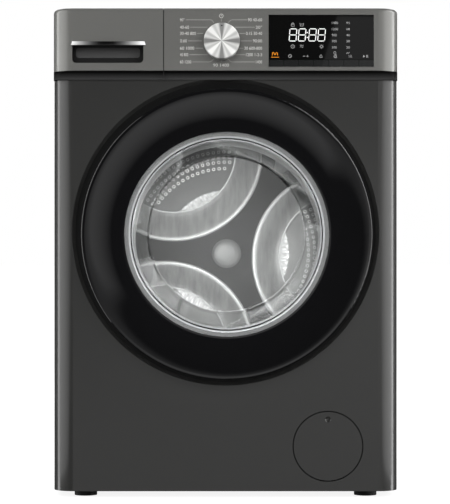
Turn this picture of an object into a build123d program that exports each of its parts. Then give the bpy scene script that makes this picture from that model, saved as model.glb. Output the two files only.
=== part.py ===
from build123d import *
import os
from math import asin, atan2, cos, degrees, hypot, radians, sin, sqrt

# Front-loading washing machine, one STEP file per named piece.
# Millimetres, +Z up, the front faces -Y, origin on the floor under the middle of the box.
# Depths are counted from the face of the front panel, positive into the machine.

# General
SHEET = 1.0
SEAM = 0.4
CLEAR = 0.3
RUN = 0.05

# Cabinet
WIDTH = 597.0
HEIGHT = 845.0
BODY_DEPTH = 530.0
CORNER_R = 35.0
REAR_CORNER_R = 6.0
BODY_LIFT = 11.0
PANEL_RETURN = 42.0
PANEL_TONGUE = 16.0
FLANGE = 14.0
TOP_THICK = 27.0
TOP_EDGE_R = 8.0
REAR_PROUD = 24.0
REAR_RETURN = 30.0
REAR_LAP = 8.0

# Control fascia and detergent drawer
FASCIA_HEIGHT = 123.0
FASCIA_PROUD = 14.0
FASCIA_WALL = 3.0
COVE_HEIGHT = 15.0
COVE_LIP = 3.0
COVE_BEND = (0.72, 0.32)
DRAWER_WIDTH = 191.5
DRAWER_FRONT_BACK = 7.6
DRAWER_WALL_THICK = 3.0
GRIP_WIDTH = 122.4
GRIP_HEIGHT = 30.3
GRIP_DROP = 64.6
GRIP_DEPTH = 26.0
GRIP_WALL = 2.5
GRIP_CORNER_R = 7.0
TRIM_WIDTH = 128.6
TRIM_HEIGHT = 6.4
TRIM_PROUD = 5.0
TRAY_WIDTH = 156.0
TRAY_LENGTH = 236.0
TRAY_HEIGHT = 56.0
TRAY_WALL = 2.5
TRAY_FIRST = 46.0
TRAY_SECOND = 62.0
HOUSING_WALL = 2.5
HOUSING_GAP = 3.5
HOUSING_FLOOR_DROP = 103.5
HOUSING_HEIGHT = 73.0
HOUSING_DEPTH = 290.0

# Knob, display and keys
KNOB_X = -6.5
KNOB_DROP = 58.8
KNOB_R = 31.0
KNOB_PROUD = 22.0
KNOB_EDGE_R = 2.5
KNOB_SHAFT_R = 3.0
KNOB_BORE = 13.0
DISPLAY_WIDTH = 181.2
DISPLAY_HEIGHT = 89.7
DISPLAY_TOP_DROP = 12.0
DISPLAY_RIGHT_INSET = 43.2
DISPLAY_THICK = 3.0
DISPLAY_PROUD = 0.5
KEY_COUNT = 7
KEY_HEIGHT = 12.0
KEY_GAP = 0.6
KEY_TRAVEL = 1.2
BOARD_DEPTH = 3.0
BOARD_THICK = 1.6
POST_R = 3.5

# Door, its recess and its hinge
AXIS_X = 2.0
AXIS_Z = 455.0
RECESS_Z = 459.0
RECESS_R = 266.0
RECESS_FLOOR_R = 259.5
RECESS_DEPTH = 9.0
APERTURE_R = 175.0
APERTURE_FLANGE = 11.0
DOOR_R = 252.0
DOOR_BACK = 4.0
RIM_R = 249.5
RIM_PROUD = 34.0
RIM_CREST = 5.5
RIM_ROUND_R = 2.6
RING_WALL = 3.2
RING_IN_R = 176.3
RING_IN_PROUD = 17.5
GLASS_FLANGE_R = 180.0
GLASS_THICK = 5.0
BOWL_MOUTH_R = 168.0
BOWL_BASE_R = 142.0
BOWL_REACH = 95.0
BOWL_CROWN = 2.5
BOWL_CORNER_R = 14.0
FRAME_R = 246.0
FRAME_THICK = 4.7
FRAME_WALL = 3.0
FRAME_WALL_HEIGHT = 11.0
HINGE_REACH = 232.0
HINGE_PROUD = 16.0
HINGE_PIN_R = 4.0
HINGE_ARM_Z = 50.0
HINGE_ARM_THICK = 6.0
HINGE_ARM_R = 6.5
HINGE_PLATE_X = 198.0
HINGE_PLATE_HALF = 12.0
HINGE_PLATE_THICK = 3.0
HINGE_PLATE_MARGIN = 14.0
EAR_THICK = 8.0
HOOK_X = 215.0
HOOK_HALF = 4.0
HOOK_PROUD = 14.0
HOOK_REACH = 33.0
HOOK_BARB = 5.0
HOOK_PIN_R = 2.5
HOOK_ROOM = 8.8
HOOK_CHEEK = 6.0
LOCK_HEIGHT = 58.0
LOCK_DEPTH = 31.0
LOCK_WALL = 5.0
FINGER_HALF = 62.0
FINGER_DEPTH = 26.0

# Tub, drum and drive, along the drum's own axis from the face of the front panel
TILT = 5.8
PIVOT_DEPTH = 60.0
TUB_SIDE_GAP = 22.5
TUB_FLANGE_WIDTH = 15.0
TUB_WALL = 5.0
TUB_FLANGE_THICK = 6.0
COLLAR_V = 52.0
TUB_FRONT_V = 66.0
TUB_SPLIT_V = 200.0
TUB_REAR_GAP = 108.0
TUB_MOUTH_R = 176.0
COLLAR_WALL = 5.0
TUB_HUB_R = 48.0
TUB_RIBS = 12
RIB_THICK = 5.0
RIB_HEIGHT = 13.0
DRUM_GAP = 16.0
DRUM_SHEET = 1.0
DRUM_FRONT_V = 90.0
DRUM_BACK_GAP = 30.0
DRUM_MOUTH_R = 165.0
DRUM_FACE_V = 80.0
PLATE_THICK = 1.2
PLATE_RIM = 10.0
LOBE_CENTRE_R = 220.0
LOBE_FOOT_R = 169.0
LOBE_TOP_R = 119.0
LOBE_HEIGHT = 28.0
LOBE_ANGLE = 117.5
LENS_TOP_R = 125.0
LENS_FOOT_R = 101.0
LENS_HEIGHT = 20.0
HUB_CAP_R = 28.0
HUB_CAP_HEIGHT = 5.0
HOLE_R = 2.75
HOLE_ROWS = (161.0, 173.0, 185.0, 198.0)
HOLE_STEP = 4.0
HOLE_SPREAD = 28.0
LIFTER_BASE = 62.0
LIFTER_TOP = 20.0
LIFTER_HEIGHT = 54.0
LIFTER_INSET = 18.0
SPIDER_HUB_R = 38.0
SPIDER_ARM_ROOT = 30.0
SPIDER_ARM_TIP = 18.0
SPIDER_THICK = 20.0
FRONT_BEARING = (36.0, 15.0, 19.0)
REAR_BEARING = (31.0, 12.5, 17.0)
FRONT_BEARING_BEHIND = 5.0
REAR_BEARING_BEHIND = 39.0
RACE = 5.5
BALLS = 9
PULLEY_R = 140.0
PULLEY_BEHIND = 60.0
PULLEY_WIDTH = 14.0
PULLEY_RIM = 8.0
PULLEY_WEB = 4.0
PULLEY_HUB_R = 26.0
PULLEY_HOLES = 6
PULLEY_HOLE_R = 30.0
MOTOR_ANGLE = -70.92
MOTOR_GAP = 10.5
MOTOR_R = 60.0
MOTOR_FRONT_V = 270.0
MOTOR_REAR_GAP = 7.0
MOTOR_PULLEY_R = 10.0
MOTOR_SHAFT_R = 6.0
SADDLE_HALF = 50.0
SADDLE_BITE = 8.0
SADDLE_FRONT_V = 295.0
SADDLE_REAR_GAP = 32.0
MOTOR_EAR_THICK = 14.0
BELT_THICK = 4.0
BELT_WIDTH = 11.0
HEATER_R = 3.5
HEATER_U = 45.0
HEATER_FRONT_V = 130.0
HEATER_TAIL = 14.0
FRONT_WEIGHT_R = 192.0
FRONT_WEIGHT_THICK = 36.0
FRONT_WEIGHT_SPREAD = 65.0
TOP_WEIGHT_U = (-40.0, 180.0)
TOP_WEIGHT_V = (215.0, 330.0)
TOP_WEIGHT_W = 322.0

# Suspension
BOUNCE = 8.0
SPRING_INSET = 36.5
SPRING_DEPTH = 325.0
SPRING_R = 17.0
SPRING_CORE_R = 12.0
SPRING_FOOT_Z = 615.0
HANGER_DROP = 55.0
HANGER_THICK = 3.0
HANGER_HALF = 16.0
LUG_THICK = 16.0
DAMPER_INSET = 123.5
DAMPER_DEPTH = 215.0
DAMPER_R = 19.0
DAMPER_BORE_R = 12.5
DAMPER_CYLINDER_TOP = 160.0
DAMPER_ROD_R = 5.5
PISTON_LENGTH = 40.0
DAMPER_FLOOR = 6.0
DAMPER_SPARE = 4.0
DAMPER_FOOT_Z = 36.0
DAMPER_HEAD_Z = 208.0
EYE_R = 11.0
EYE_THICK = 12.0
EYE_PIN_R = 5.0
EYE_PIN_LENGTH = 6.0

# Base, feet, service flap and pump
BASE_Z = 18.0
BASE_THICK = 3.0
BASE_RIM = 30.0
FOOT_INSET = 54.0
FOOT_FRONT = 48.0
FOOT_REAR_INSET = 48.0
FOOT_R = 19.7
FOOT_PAD = 9.5
FOOT_EDGE_R = 2.0
STUD_R = 5.0
STUD_TOP = 46.0
BOSS_R = 14.0
BOSS_HEIGHT = 20.0
NUT_R = 9.5
FLAP_INSET = 121.5
FLAP_Z = 88.7
FLAP_R = 59.3
FLAP_GAP = 1.9
FLAP_THICK = 2.5
FLAP_AXIS_DROP = 5.9
FLAP_AXIS_DEPTH = 4.2
FLAP_PIN_R = 1.3
FLAP_LUG_R = 2.3
FLAP_ARM_R = (7.3, 10.2)
FLAP_LUG = (6.0, 13.5)
FLAP_BRACKET = (26.5, 32.0)
DIMPLE_RISE = 46.3
DIMPLE_R = 8.0
DIMPLE_DEPTH = 1.9
BEZEL_HALF = 70.0
BEZEL_DEPTH = 7.5
BEZEL_THICK = 3.0
WELL_R = 52.0
WELL_WALL = 2.5
PUMP_FACE = 34.0
PUMP_R = 46.0
PUMP_BORE_R = 36.0
PUMP_BORE_END = 95.0
PUMP_BACK = 112.0
PUMP_MOTOR_HALF = 31.0
PUMP_MOTOR_BACK = 172.0
PUMP_INLET_SIDE = 27.0
PUMP_INLET_DEPTH = 75.0
PUMP_INLET_Z = 150.0
PUMP_OUTLET_SIDE = 48.0
PUMP_OUTLET_Z = 75.0
PUMP_OUTLET_END = 125.0
PLUG_FLANGE_R = 43.0
PLUG_FLANGE_FACE = 26.0
PLUG_GRIP_FACE = 13.0
PLUG_GRIP_HALF = 30.0
PLUG_GRIP_THICK = 12.0
SPIGOT_R = 17.0
SPIGOT_WALL = 3.0
HOSE_WALL = 2.6
SUMP_TOP_Z = 205.0
DRAIN_R = 10.5
DRAIN_WALL = 2.5
DRAIN_INSET = 53.5
DRAIN_Z = 110.0
DRAIN_BENDS = (0.42, 0.68)
DRAIN_BEND_R = 120.0
DRAIN_TAIL = 20.0

# Back of the cabinet
COVER_WIDTH = 380.0
COVER_BOTTOM = 180.0
COVER_TOP = 660.0
COVER_LAP = 16.0
COVER_BULGE = 12.0
COVER_CORNER_R = 40.0
VALVE_SIDE = 2.75
VALVE_DROP = 60.0
VALVE_HALF = 18.0
VALVE_DEPTH = 58.0
THREAD_R = 13.2
VALVE_SPIGOT_R = 6.0
VALVE_SPIGOT = 20.0
GLAND_INSET = 63.5
GLAND_Z = 130.0
GLAND_R = 9.0
GLAND_BORE_R = 4.0
GLAND_FLANGE_R = 14.0
GLAND_PROUD = 16.0
GLAND_TAIL = 8.0
GLAND_FLANGE = 4.0
CAP_INSET = 53.5
CAP_Z = (290.0, 610.0)
CAP_R = 17.0
CAP_PLUG_R = 11.0
CAP_PLUG = 10.0
CAP_THICK = 3.0
SCREW_R = 1.9
SCREW_HEAD_R = 4.5
SCREW_HEAD = 2.5
SCREW_LENGTH = 9.0
BELLOWS_SIDE = 22.75
BELLOWS_DEPTH = 250.0
BELLOWS_DROP = 25.5
BELLOWS_BOTTOM_Z = 672.0
BELLOWS_R = 16.0
BELLOWS_LAP = 10.0
SUMP_LAP = 12.0

# Places worked out from the sizes above
Y_FRONT = (FASCIA_PROUD + KNOB_PROUD - BODY_DEPTH - REAR_PROUD) / 2
Y_FASCIA = Y_FRONT - FASCIA_PROUD
Y_REAR = Y_FRONT + BODY_DEPTH
HALF = WIDTH / 2
WRAP_TOP = HEIGHT - TOP_THICK
FASCIA_BOTTOM = HEIGHT - FASCIA_HEIGHT
COVE_TOP = FASCIA_BOTTOM + COVE_HEIGHT
SPLIT_X = DRAWER_WIDTH - HALF
DRAWER_X = DRAWER_WIDTH / 2 - HALF
GRIP_TOP = HEIGHT - GRIP_DROP
KNOB_Z = HEIGHT - KNOB_DROP
DISPLAY_RIGHT = HALF - DISPLAY_RIGHT_INSET
DISPLAY_LEFT = DISPLAY_RIGHT - DISPLAY_WIDTH
DISPLAY_TOP = HEIGHT - DISPLAY_TOP_DROP
DISPLAY_BOTTOM = DISPLAY_TOP - DISPLAY_HEIGHT
HOUSING_FLOOR = HEIGHT - HOUSING_FLOOR_DROP
TRAY_FLOOR = HOUSING_FLOOR + HOUSING_WALL + CLEAR
TRAY_FRONT = GRIP_DEPTH - FASCIA_PROUD + GRIP_WALL
HINGE_X = AXIS_X - HINGE_REACH
FLANGE_FRONT = RING_IN_PROUD - RING_WALL - CLEAR
FLANGE_BACK = FLANGE_FRONT - GLASS_THICK
FRAME_FRONT = FLANGE_BACK - CLEAR
TUB_FLANGE_R = HALF - TUB_SIDE_GAP
TUB_R = TUB_FLANGE_R - TUB_FLANGE_WIDTH
TUB_OUT_R = TUB_R + TUB_WALL
TUB_REAR_V = BODY_DEPTH - TUB_REAR_GAP
DRUM_BACK_V = TUB_REAR_V - DRUM_BACK_GAP
FRONT_BEARING_V = TUB_REAR_V + FRONT_BEARING_BEHIND
REAR_BEARING_V = TUB_REAR_V + REAR_BEARING_BEHIND
PULLEY_V = TUB_REAR_V + PULLEY_BEHIND
MOTOR_REAR_V = TUB_REAR_V - MOTOR_REAR_GAP
SADDLE_V = (SADDLE_FRONT_V, TUB_REAR_V - SADDLE_REAR_GAP)
DRUM_R = TUB_R - DRUM_GAP
MOTOR_REACH = TUB_OUT_R + MOTOR_GAP + MOTOR_R
MOTOR_U = MOTOR_REACH * cos(radians(MOTOR_ANGLE))
MOTOR_W = MOTOR_REACH * sin(radians(MOTOR_ANGLE))
SPRING_X = HALF - SPRING_INSET
HANGER_Z = HEIGHT - HANGER_DROP
DAMPER_X = HALF - DAMPER_INSET
FOOT_X = HALF - FOOT_INSET
FLAP_X = HALF - FLAP_INSET
PUMP_INLET_X = FLAP_X - PUMP_INLET_SIDE
PUMP_OUTLET_X = FLAP_X + PUMP_OUTLET_SIDE
DRAIN_X = HALF - DRAIN_INSET
GLAND_X = GLAND_INSET - HALF
CAP_X = HALF - CAP_INSET
VALVE_X = DRAWER_X + VALVE_SIDE
VALVE_Z = HEIGHT - VALVE_DROP
BELLOWS_X = DRAWER_X + BELLOWS_SIDE
BELLOWS_TOP_Z = HOUSING_FLOOR - BELLOWS_DROP
HUB_END_V = REAR_BEARING_V + REAR_BEARING[2]
FLAP_AXIS_Z = FLAP_Z - FLAP_R - FLAP_AXIS_DROP
LOBE_ANGLES = [LOBE_ANGLE + 120 * i for i in range(3)]
ARM_ANGLES = [angle + 60 for angle in LOBE_ANGLES]
FAR = 2 * (WIDTH + HEIGHT + BODY_DEPTH)


def at(depth):
    """The y of a depth behind the face of the front panel."""
    return Y_FRONT + depth


def block(x0, x1, y0, y1, z0, z1):
    """A box between two corners."""
    middle = Pos((x0 + x1) / 2, (y0 + y1) / 2, (z0 + z1) / 2)
    return middle * Box(x1 - x0, y1 - y0, z1 - z0)


def rod_x(y, z, radius, x0, x1):
    return Pos((x0 + x1) / 2, y, z) * Rot(0, 90, 0) * Cylinder(radius, x1 - x0)


def rod_y(x, z, radius, y0, y1):
    return Pos(x, (y0 + y1) / 2, z) * Rot(90, 0, 0) * Cylinder(radius, y1 - y0)


def rod_z(x, y, radius, z0, z1):
    return Pos(x, y, (z0 + z1) / 2) * Cylinder(radius, z1 - z0)


def pipe_y(x, z, outer, inner, y0, y1):
    return rod_y(x, z, outer, y0, y1) - rod_y(x, z, inner, y0 - 1, y1 + 1)


def pipe_z(x, y, outer, inner, z0, z1):
    return rod_z(x, y, outer, z0, z1) - rod_z(x, y, inner, z0 - 1, z1 + 1)


def turned(points, x=0.0, z=0.0):
    """A solid of revolution about the line through (x, z) along Y, from (radius, y) points."""
    profile = make_face(Polyline(*[(r, y, 0) for r, y in points], close=True))
    return Pos(x, 0, z) * revolve(profile, Axis.Y)


def both_sides(shape):
    """A shape and its mirror image across the machine's middle."""
    return shape + mirror(shape, Plane.YZ)


def plan(inset, y_front):
    """The cabinet's outline seen from above, with round corners, drawn in by inset."""
    front = y_front + inset
    rear = Y_REAR - inset
    face = Pos(0, (front + rear) / 2) * Rectangle(WIDTH - 2 * inset, rear - front)
    face = fillet(face.vertices().group_by(Axis.Y)[0], CORNER_R - inset)
    if inset < REAR_CORNER_R:
        face = fillet(face.vertices().group_by(Axis.Y)[-1], REAR_CORNER_R - inset)
    return face


def prism(face, z0, z1):
    return extrude(Pos(0, 0, z0) * face, z1 - z0)


def tilted(shape):
    """Places a shape built round the drum's axis, which runs along Y before it is tilted."""
    turn = Pos(AXIS_X, at(PIVOT_DEPTH), AXIS_Z) * Rot(-TILT, 0, 0)
    return turn * Pos(0, -PIVOT_DEPTH, 0) * shape


def tub_core():
    """The space inside the tub wall, used to trim what is fixed on its outside."""
    return tilted(rod_y(0, 0, TUB_R + TUB_WALL / 2, 0, TUB_REAR_V + TUB_WALL / 2))


# Cabinet

def side_panels():
    """Left and right sides, each folded round its rear corner, with a spring hanger."""
    walls = prism(plan(0, Y_FRONT) - plan(SHEET, Y_FRONT), BODY_LIFT, WRAP_TOP)
    walls -= block(-FAR, FAR, -FAR, at(PANEL_RETURN), 0, HEIGHT)
    walls -= block(REAR_RETURN - HALF, HALF - REAR_RETURN, -FAR, FAR, 0, HEIGHT)
    hanger = block(SPRING_X - HANGER_HALF, HALF - SHEET / 2, at(SPRING_DEPTH - HANGER_HALF),
                   at(SPRING_DEPTH + HANGER_HALF), HANGER_Z, HANGER_Z + HANGER_THICK)
    return walls + both_sides(hanger)


def rear_panel():
    """Back sheet between the side panels, lapped behind their returns."""
    edge = HALF - REAR_RETURN - SEAM
    panel = block(-edge, edge, Y_REAR - SHEET, Y_REAR, BODY_LIFT, WRAP_TOP)
    panel += both_sides(block(edge - REAR_LAP, edge + REAR_LAP, Y_REAR - 2 * SHEET, Y_REAR - SHEET,
                              BASE_Z + BASE_RIM + CLEAR, WRAP_TOP))
    opening = Plane.XZ * Pos(0, (COVER_BOTTOM + COVER_TOP) / 2) * RectangleRounded(
        COVER_WIDTH - 2 * COVER_LAP, COVER_TOP - COVER_BOTTOM - 2 * COVER_LAP, COVER_CORNER_R / 2)
    panel -= extrude(opening, -FAR)
    y0, y1 = Y_REAR - 2 * SHEET, Y_REAR + SHEET
    for x, z in cover_screws():
        panel -= rod_y(x, z, SCREW_R + CLEAR, y0, y1)
    for x, z in cap_places():
        panel -= rod_y(x, z, CAP_PLUG_R + CLEAR, y0, y1)
    panel -= rod_y(VALVE_X, VALVE_Z, THREAD_R + CLEAR, y0, y1)
    panel -= rod_y(GLAND_X, GLAND_Z, GLAND_R + CLEAR, y0, y1)
    return panel - rod_y(DRAIN_X, DRAIN_Z, DRAIN_R + CLEAR, y0, y1)


def cap_places():
    return [(x, z) for x in (-CAP_X, CAP_X) for z in CAP_Z]


def cover_screws():
    """Places of the screws round the rear cover."""
    x = (COVER_WIDTH - COVER_LAP) / 2
    z0 = COVER_BOTTOM + COVER_LAP / 2
    z1 = COVER_TOP - COVER_LAP / 2
    side = [(s * x, z0 + (z1 - z0) * k / 4) for s in (-1, 1) for k in (1, 2, 3)]
    return side + [(0, z0), (0, z1)]


def top_screws():
    """Places of the screws that hold the worktop from behind."""
    return [(s * (HALF - 3 * CORNER_R), HEIGHT - TOP_THICK / 2) for s in (-1, 1)]


def rear_service_cover():
    """Pressed cover over the opening in the back, bulged for the pulley."""
    middle = (COVER_BOTTOM + COVER_TOP) / 2
    tall = COVER_TOP - COVER_BOTTOM
    sheet = Plane.XZ * Pos(0, middle) * RectangleRounded(COVER_WIDTH, tall, COVER_CORNER_R)
    inside = Plane.XZ * Pos(0, middle) * RectangleRounded(
        COVER_WIDTH - 4 * COVER_LAP, tall - 4 * COVER_LAP, COVER_CORNER_R - COVER_LAP)
    cover = Pos(0, Y_REAR, 0) * extrude(sheet, -SHEET)
    bulge = Pos(0, Y_REAR, 0) * extrude(inside, -COVER_BULGE, taper=30)
    hollow = Pos(0, -SHEET, 0) * bulge
    cover = cover + bulge - hollow
    for x, z in cover_screws():
        cover -= rod_y(x, z, SCREW_R + CLEAR, Y_REAR - SHEET, Y_REAR + 2 * SHEET)
    return cover


def base_tray():
    """Moulded base with a rim, foot bosses and damper ears, open behind the service flap."""
    inset = SHEET + CLEAR
    tray = prism(plan(inset, Y_FRONT), BASE_Z, BASE_Z + BASE_RIM)
    tray -= prism(plan(inset + BASE_THICK, Y_FRONT), BASE_Z + BASE_THICK, HEIGHT)
    window = FLAP_R + FLAP_GAP
    tray -= block(FLAP_X - window, FLAP_X + window, at(0), at(BEZEL_DEPTH), BASE_Z + BASE_THICK,
                  HEIGHT)
    ears = block(DAMPER_X - EYE_R, DAMPER_X + EYE_R,
                 at(DAMPER_DEPTH - EYE_THICK / 2 - EYE_PIN_LENGTH - CLEAR),
                 at(DAMPER_DEPTH + EYE_THICK / 2 + EYE_PIN_LENGTH + CLEAR),
                 BASE_Z, DAMPER_FOOT_Z + EYE_R)
    ears -= block(DAMPER_X - EYE_R - 1, DAMPER_X + EYE_R + 1,
                  at(DAMPER_DEPTH - EYE_THICK / 2 - CLEAR),
                  at(DAMPER_DEPTH + EYE_THICK / 2 + CLEAR),
                  BASE_Z + BASE_THICK, DAMPER_FOOT_Z + EYE_R + 1)
    ears -= rod_y(DAMPER_X, DAMPER_FOOT_Z, EYE_PIN_R + CLEAR, at(0), at(BODY_DEPTH))
    tray += both_sides(ears)
    for x, y in foot_places():
        tray += rod_z(x, y, BOSS_R, BASE_Z, BASE_Z + BOSS_HEIGHT)
    for x, y in foot_places():
        tray -= rod_z(x, y, STUD_R + CLEAR, 0, HEIGHT)
    return tray


def flap_bezel():
    """Frame behind the service flap: a plate with a well, and brackets with the flap's pins."""
    y0, y1 = at(BEZEL_DEPTH), at(BEZEL_DEPTH + BEZEL_THICK)
    floor = BASE_Z + BASE_THICK
    bezel = block(FLAP_X - BEZEL_HALF, FLAP_X + BEZEL_HALF, y0, y1, floor, FLAP_Z + BEZEL_HALF)
    bezel += rod_y(FLAP_X, FLAP_Z, WELL_R + WELL_WALL, y0, at(PUMP_FACE - CLEAR))
    bezel -= rod_y(FLAP_X, FLAP_Z, WELL_R, at(0), at(PUMP_FACE))
    bezel -= flap_cut()
    for s in (-1, 1):
        x0, x1 = sorted((FLAP_X + s * FLAP_BRACKET[0], FLAP_X + s * FLAP_BRACKET[1]))
        bezel += block(x0, x1, at(FLAP_AXIS_DEPTH - 2 * FLAP_PIN_R), y1, floor,
                       FLAP_AXIS_Z + 2 * FLAP_PIN_R)
        x0, x1 = sorted((FLAP_X + s * (FLAP_LUG[0] + CLEAR), FLAP_X + s * FLAP_BRACKET[1]))
        bezel += rod_x(at(FLAP_AXIS_DEPTH), FLAP_AXIS_Z, FLAP_PIN_R, x0, x1)
    return bezel


def flap_cut():
    """Room in the bezel for the arms of the flap as it swings."""
    x = FLAP_BRACKET[0] - CLEAR
    reach = FLAP_ARM_R[1] + CLEAR
    room = block(FLAP_X - x, FLAP_X + x, at(0), at(FLAP_AXIS_DEPTH + reach), BASE_Z,
                 FLAP_AXIS_Z + reach)
    return room - rod_y(FLAP_X, FLAP_Z, WELL_R + WELL_WALL, at(0), at(PUMP_FACE))


def top_cover():
    """Worktop board behind the fascia."""
    slab = prism(plan(0, Y_FRONT), WRAP_TOP, HEIGHT)
    rim = slab.faces().sort_by(Axis.Z)[-1].edges()
    slab = fillet(rim, TOP_EDGE_R)
    slab -= block(-FAR, FAR, -FAR, at(PANEL_RETURN), 0, HEIGHT + 1)
    for x, z in top_screws():
        slab -= rod_y(x, z, SCREW_R + CLEAR, Y_REAR - SCREW_LENGTH - CLEAR, Y_REAR + 1)
    return slab


def front_panel():
    """Pressed front with rolled corners, the door recess, its aperture and the flap hole."""
    top = FASCIA_BOTTOM - SEAM
    panel = prism(plan(0, Y_FRONT) - plan(SHEET, Y_FRONT), BODY_LIFT, top)
    panel += prism(plan(0, Y_FRONT) - plan(FLANGE, Y_FRONT), BODY_LIFT, BODY_LIFT + SHEET)
    flat = HALF - CORNER_R
    panel += block(-flat, flat, at(0), at(SHEET), BODY_LIFT, top + PANEL_TONGUE)
    panel -= block(-FAR, FAR, at(PANEL_RETURN - SEAM), FAR, 0, HEIGHT)
    panel -= rod_y(0, RECESS_Z, RECESS_R - SHEET / 2, at(-1), at(2 * SHEET))
    dish = turned([(RECESS_R + SHEET, at(0)), (RECESS_R, at(0)),
                   (RECESS_FLOOR_R, at(RECESS_DEPTH)), (APERTURE_R - FLANGE, at(RECESS_DEPTH)),
                   (APERTURE_R - FLANGE, at(RECESS_DEPTH + SHEET)),
                   (RECESS_FLOOR_R + SHEET / 2, at(RECESS_DEPTH + SHEET)),
                   (RECESS_R + SHEET, at(SHEET))], 0, RECESS_Z)
    dish -= rod_y(AXIS_X, AXIS_Z, APERTURE_R, at(0), at(PANEL_RETURN))
    dish += pipe_y(AXIS_X, AXIS_Z, APERTURE_R + SHEET, APERTURE_R, at(RECESS_DEPTH),
                   at(RECESS_DEPTH + APERTURE_FLANGE))
    panel += dish
    panel -= rod_y(FLAP_X, FLAP_Z, FLAP_R + FLAP_GAP, at(-1), at(2 * SHEET))
    hook = AXIS_X + HOOK_X
    panel -= block(hook - 3 * HOOK_HALF, hook + 4 * HOOK_HALF, at(RECESS_DEPTH - 1),
                   at(RECESS_DEPTH + 2 * SHEET), AXIS_Z - 2 * HOOK_HALF, AXIS_Z + 2 * HOOK_HALF)
    return panel


# Control fascia, drawer, knob and keys

def fascia_block():
    """Outer form of fascia and drawer front together, before they are parted and hollowed."""
    form = prism(plan(0, Y_FASCIA), FASCIA_BOTTOM, HEIGHT)
    form = fillet(form.faces().sort_by(Axis.Z)[-1].edges(), TOP_EDGE_R)
    form -= block(-FAR, FAR, at(PANEL_RETURN - SEAM), FAR, 0, HEIGHT + 1)
    lip = at(-COVE_LIP - CLEAR)
    upper = (Y_FASCIA, COVE_TOP)
    across, down = COVE_BEND
    bend = (Y_FASCIA + across * (lip - Y_FASCIA), COVE_TOP - down * COVE_HEIGHT)
    cove = Plane.YZ * make_face([
        ThreePointArc(upper, bend, (lip, FASCIA_BOTTOM)),
        Polyline((lip, FASCIA_BOTTOM), (lip, FASCIA_BOTTOM - 1), (Y_FASCIA - 1, FASCIA_BOTTOM - 1),
                 (Y_FASCIA - 1, COVE_TOP), upper)])
    form -= extrude(cove, FAR, both=True)
    return form


def fascia_hollow(wall):
    """The space inside the fascia's walls, open to the back and below."""
    inner = prism(plan(wall, Y_FASCIA), COVE_TOP + wall, HEIGHT - wall)
    below = prism(plan(wall, Y_FASCIA), FASCIA_BOTTOM - 1, COVE_TOP + wall + 1)
    below -= block(-FAR, FAR, -FAR, at(-CLEAR), 0, HEIGHT)
    return inner + below


def control_fascia():
    """Fascia right of the drawer, with a recessed wall behind the drawer front."""
    wall_y = at(DRAWER_FRONT_BACK + SEAM)
    form = fascia_block()
    shell = form - fascia_hollow(FASCIA_WALL)
    shell -= block(-FAR, SPLIT_X, -FAR, wall_y, 0, HEIGHT + 1)
    left = block(-FAR, SPLIT_X + FASCIA_WALL, wall_y, wall_y + FASCIA_WALL, FASCIA_BOTTOM, HEIGHT)
    cheek = block(SPLIT_X, SPLIT_X + FASCIA_WALL, -FAR, wall_y, FASCIA_BOTTOM, HEIGHT)
    shell += (left + cheek) & form
    shell -= block(-HALF + FASCIA_WALL, HALF - FASCIA_WALL, at(-CLEAR), at(PANEL_RETURN),
                   FASCIA_BOTTOM - 1, FASCIA_BOTTOM + PANEL_TONGUE + CLEAR) - block(
        -FAR, FAR, at(2 * SHEET), FAR, 0, HEIGHT)
    half = TRAY_WIDTH / 2 + CLEAR
    shell -= block(DRAWER_X - half, DRAWER_X + half, wall_y - 1, at(PANEL_RETURN),
                   TRAY_FLOOR - CLEAR, TRAY_FLOOR + TRAY_HEIGHT + CLEAR)
    shell -= block(DISPLAY_LEFT, DISPLAY_RIGHT, Y_FASCIA - 1, Y_FASCIA + FASCIA_WALL + 1,
                   DISPLAY_BOTTOM, DISPLAY_TOP)
    for x, z in board_posts():
        shell += rod_y(x, z, POST_R, Y_FASCIA + FASCIA_WALL / 2, at(BOARD_DEPTH))
    shell -= rod_y(KNOB_X, KNOB_Z, KNOB_SHAFT_R + 1, Y_FASCIA - 1, at(BOARD_DEPTH))
    return shell


def board_posts():
    """Posts that carry the control board, round the display and the knob."""
    z0, z1 = DISPLAY_BOTTOM + 2 * POST_R, DISPLAY_TOP - POST_R
    right = DISPLAY_RIGHT + 2 * POST_R
    left = KNOB_X - KNOB_R - POST_R
    return [(x, z) for x in (left, DISPLAY_LEFT - 2 * POST_R, right) for z in (z0, z1)]


def display_window():
    """Dark window above the keys."""
    face = Y_FASCIA - DISPLAY_PROUD
    return block(DISPLAY_LEFT + CLEAR, DISPLAY_RIGHT - CLEAR, face, face + DISPLAY_THICK,
                 DISPLAY_BOTTOM + KEY_HEIGHT + CLEAR, DISPLAY_TOP - CLEAR)


def key(i):
    """Push key number i, counted from the left, with its plunger."""
    pitch = (DISPLAY_WIDTH - 2 * CLEAR + KEY_GAP) / KEY_COUNT
    x0 = DISPLAY_LEFT + CLEAR + i * pitch
    x1 = x0 + pitch - KEY_GAP
    face = Y_FASCIA - DISPLAY_PROUD
    z0, z1 = DISPLAY_BOTTOM + CLEAR, DISPLAY_BOTTOM + KEY_HEIGHT - CLEAR
    cap = block(x0, x1, face, face + DISPLAY_THICK, z0, z1)
    return cap + rod_y((x0 + x1) / 2, (z0 + z1) / 2, KEY_HEIGHT / 4, face + 1,
                       at(BOARD_DEPTH - CLEAR) - KEY_TRAVEL)


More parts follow.
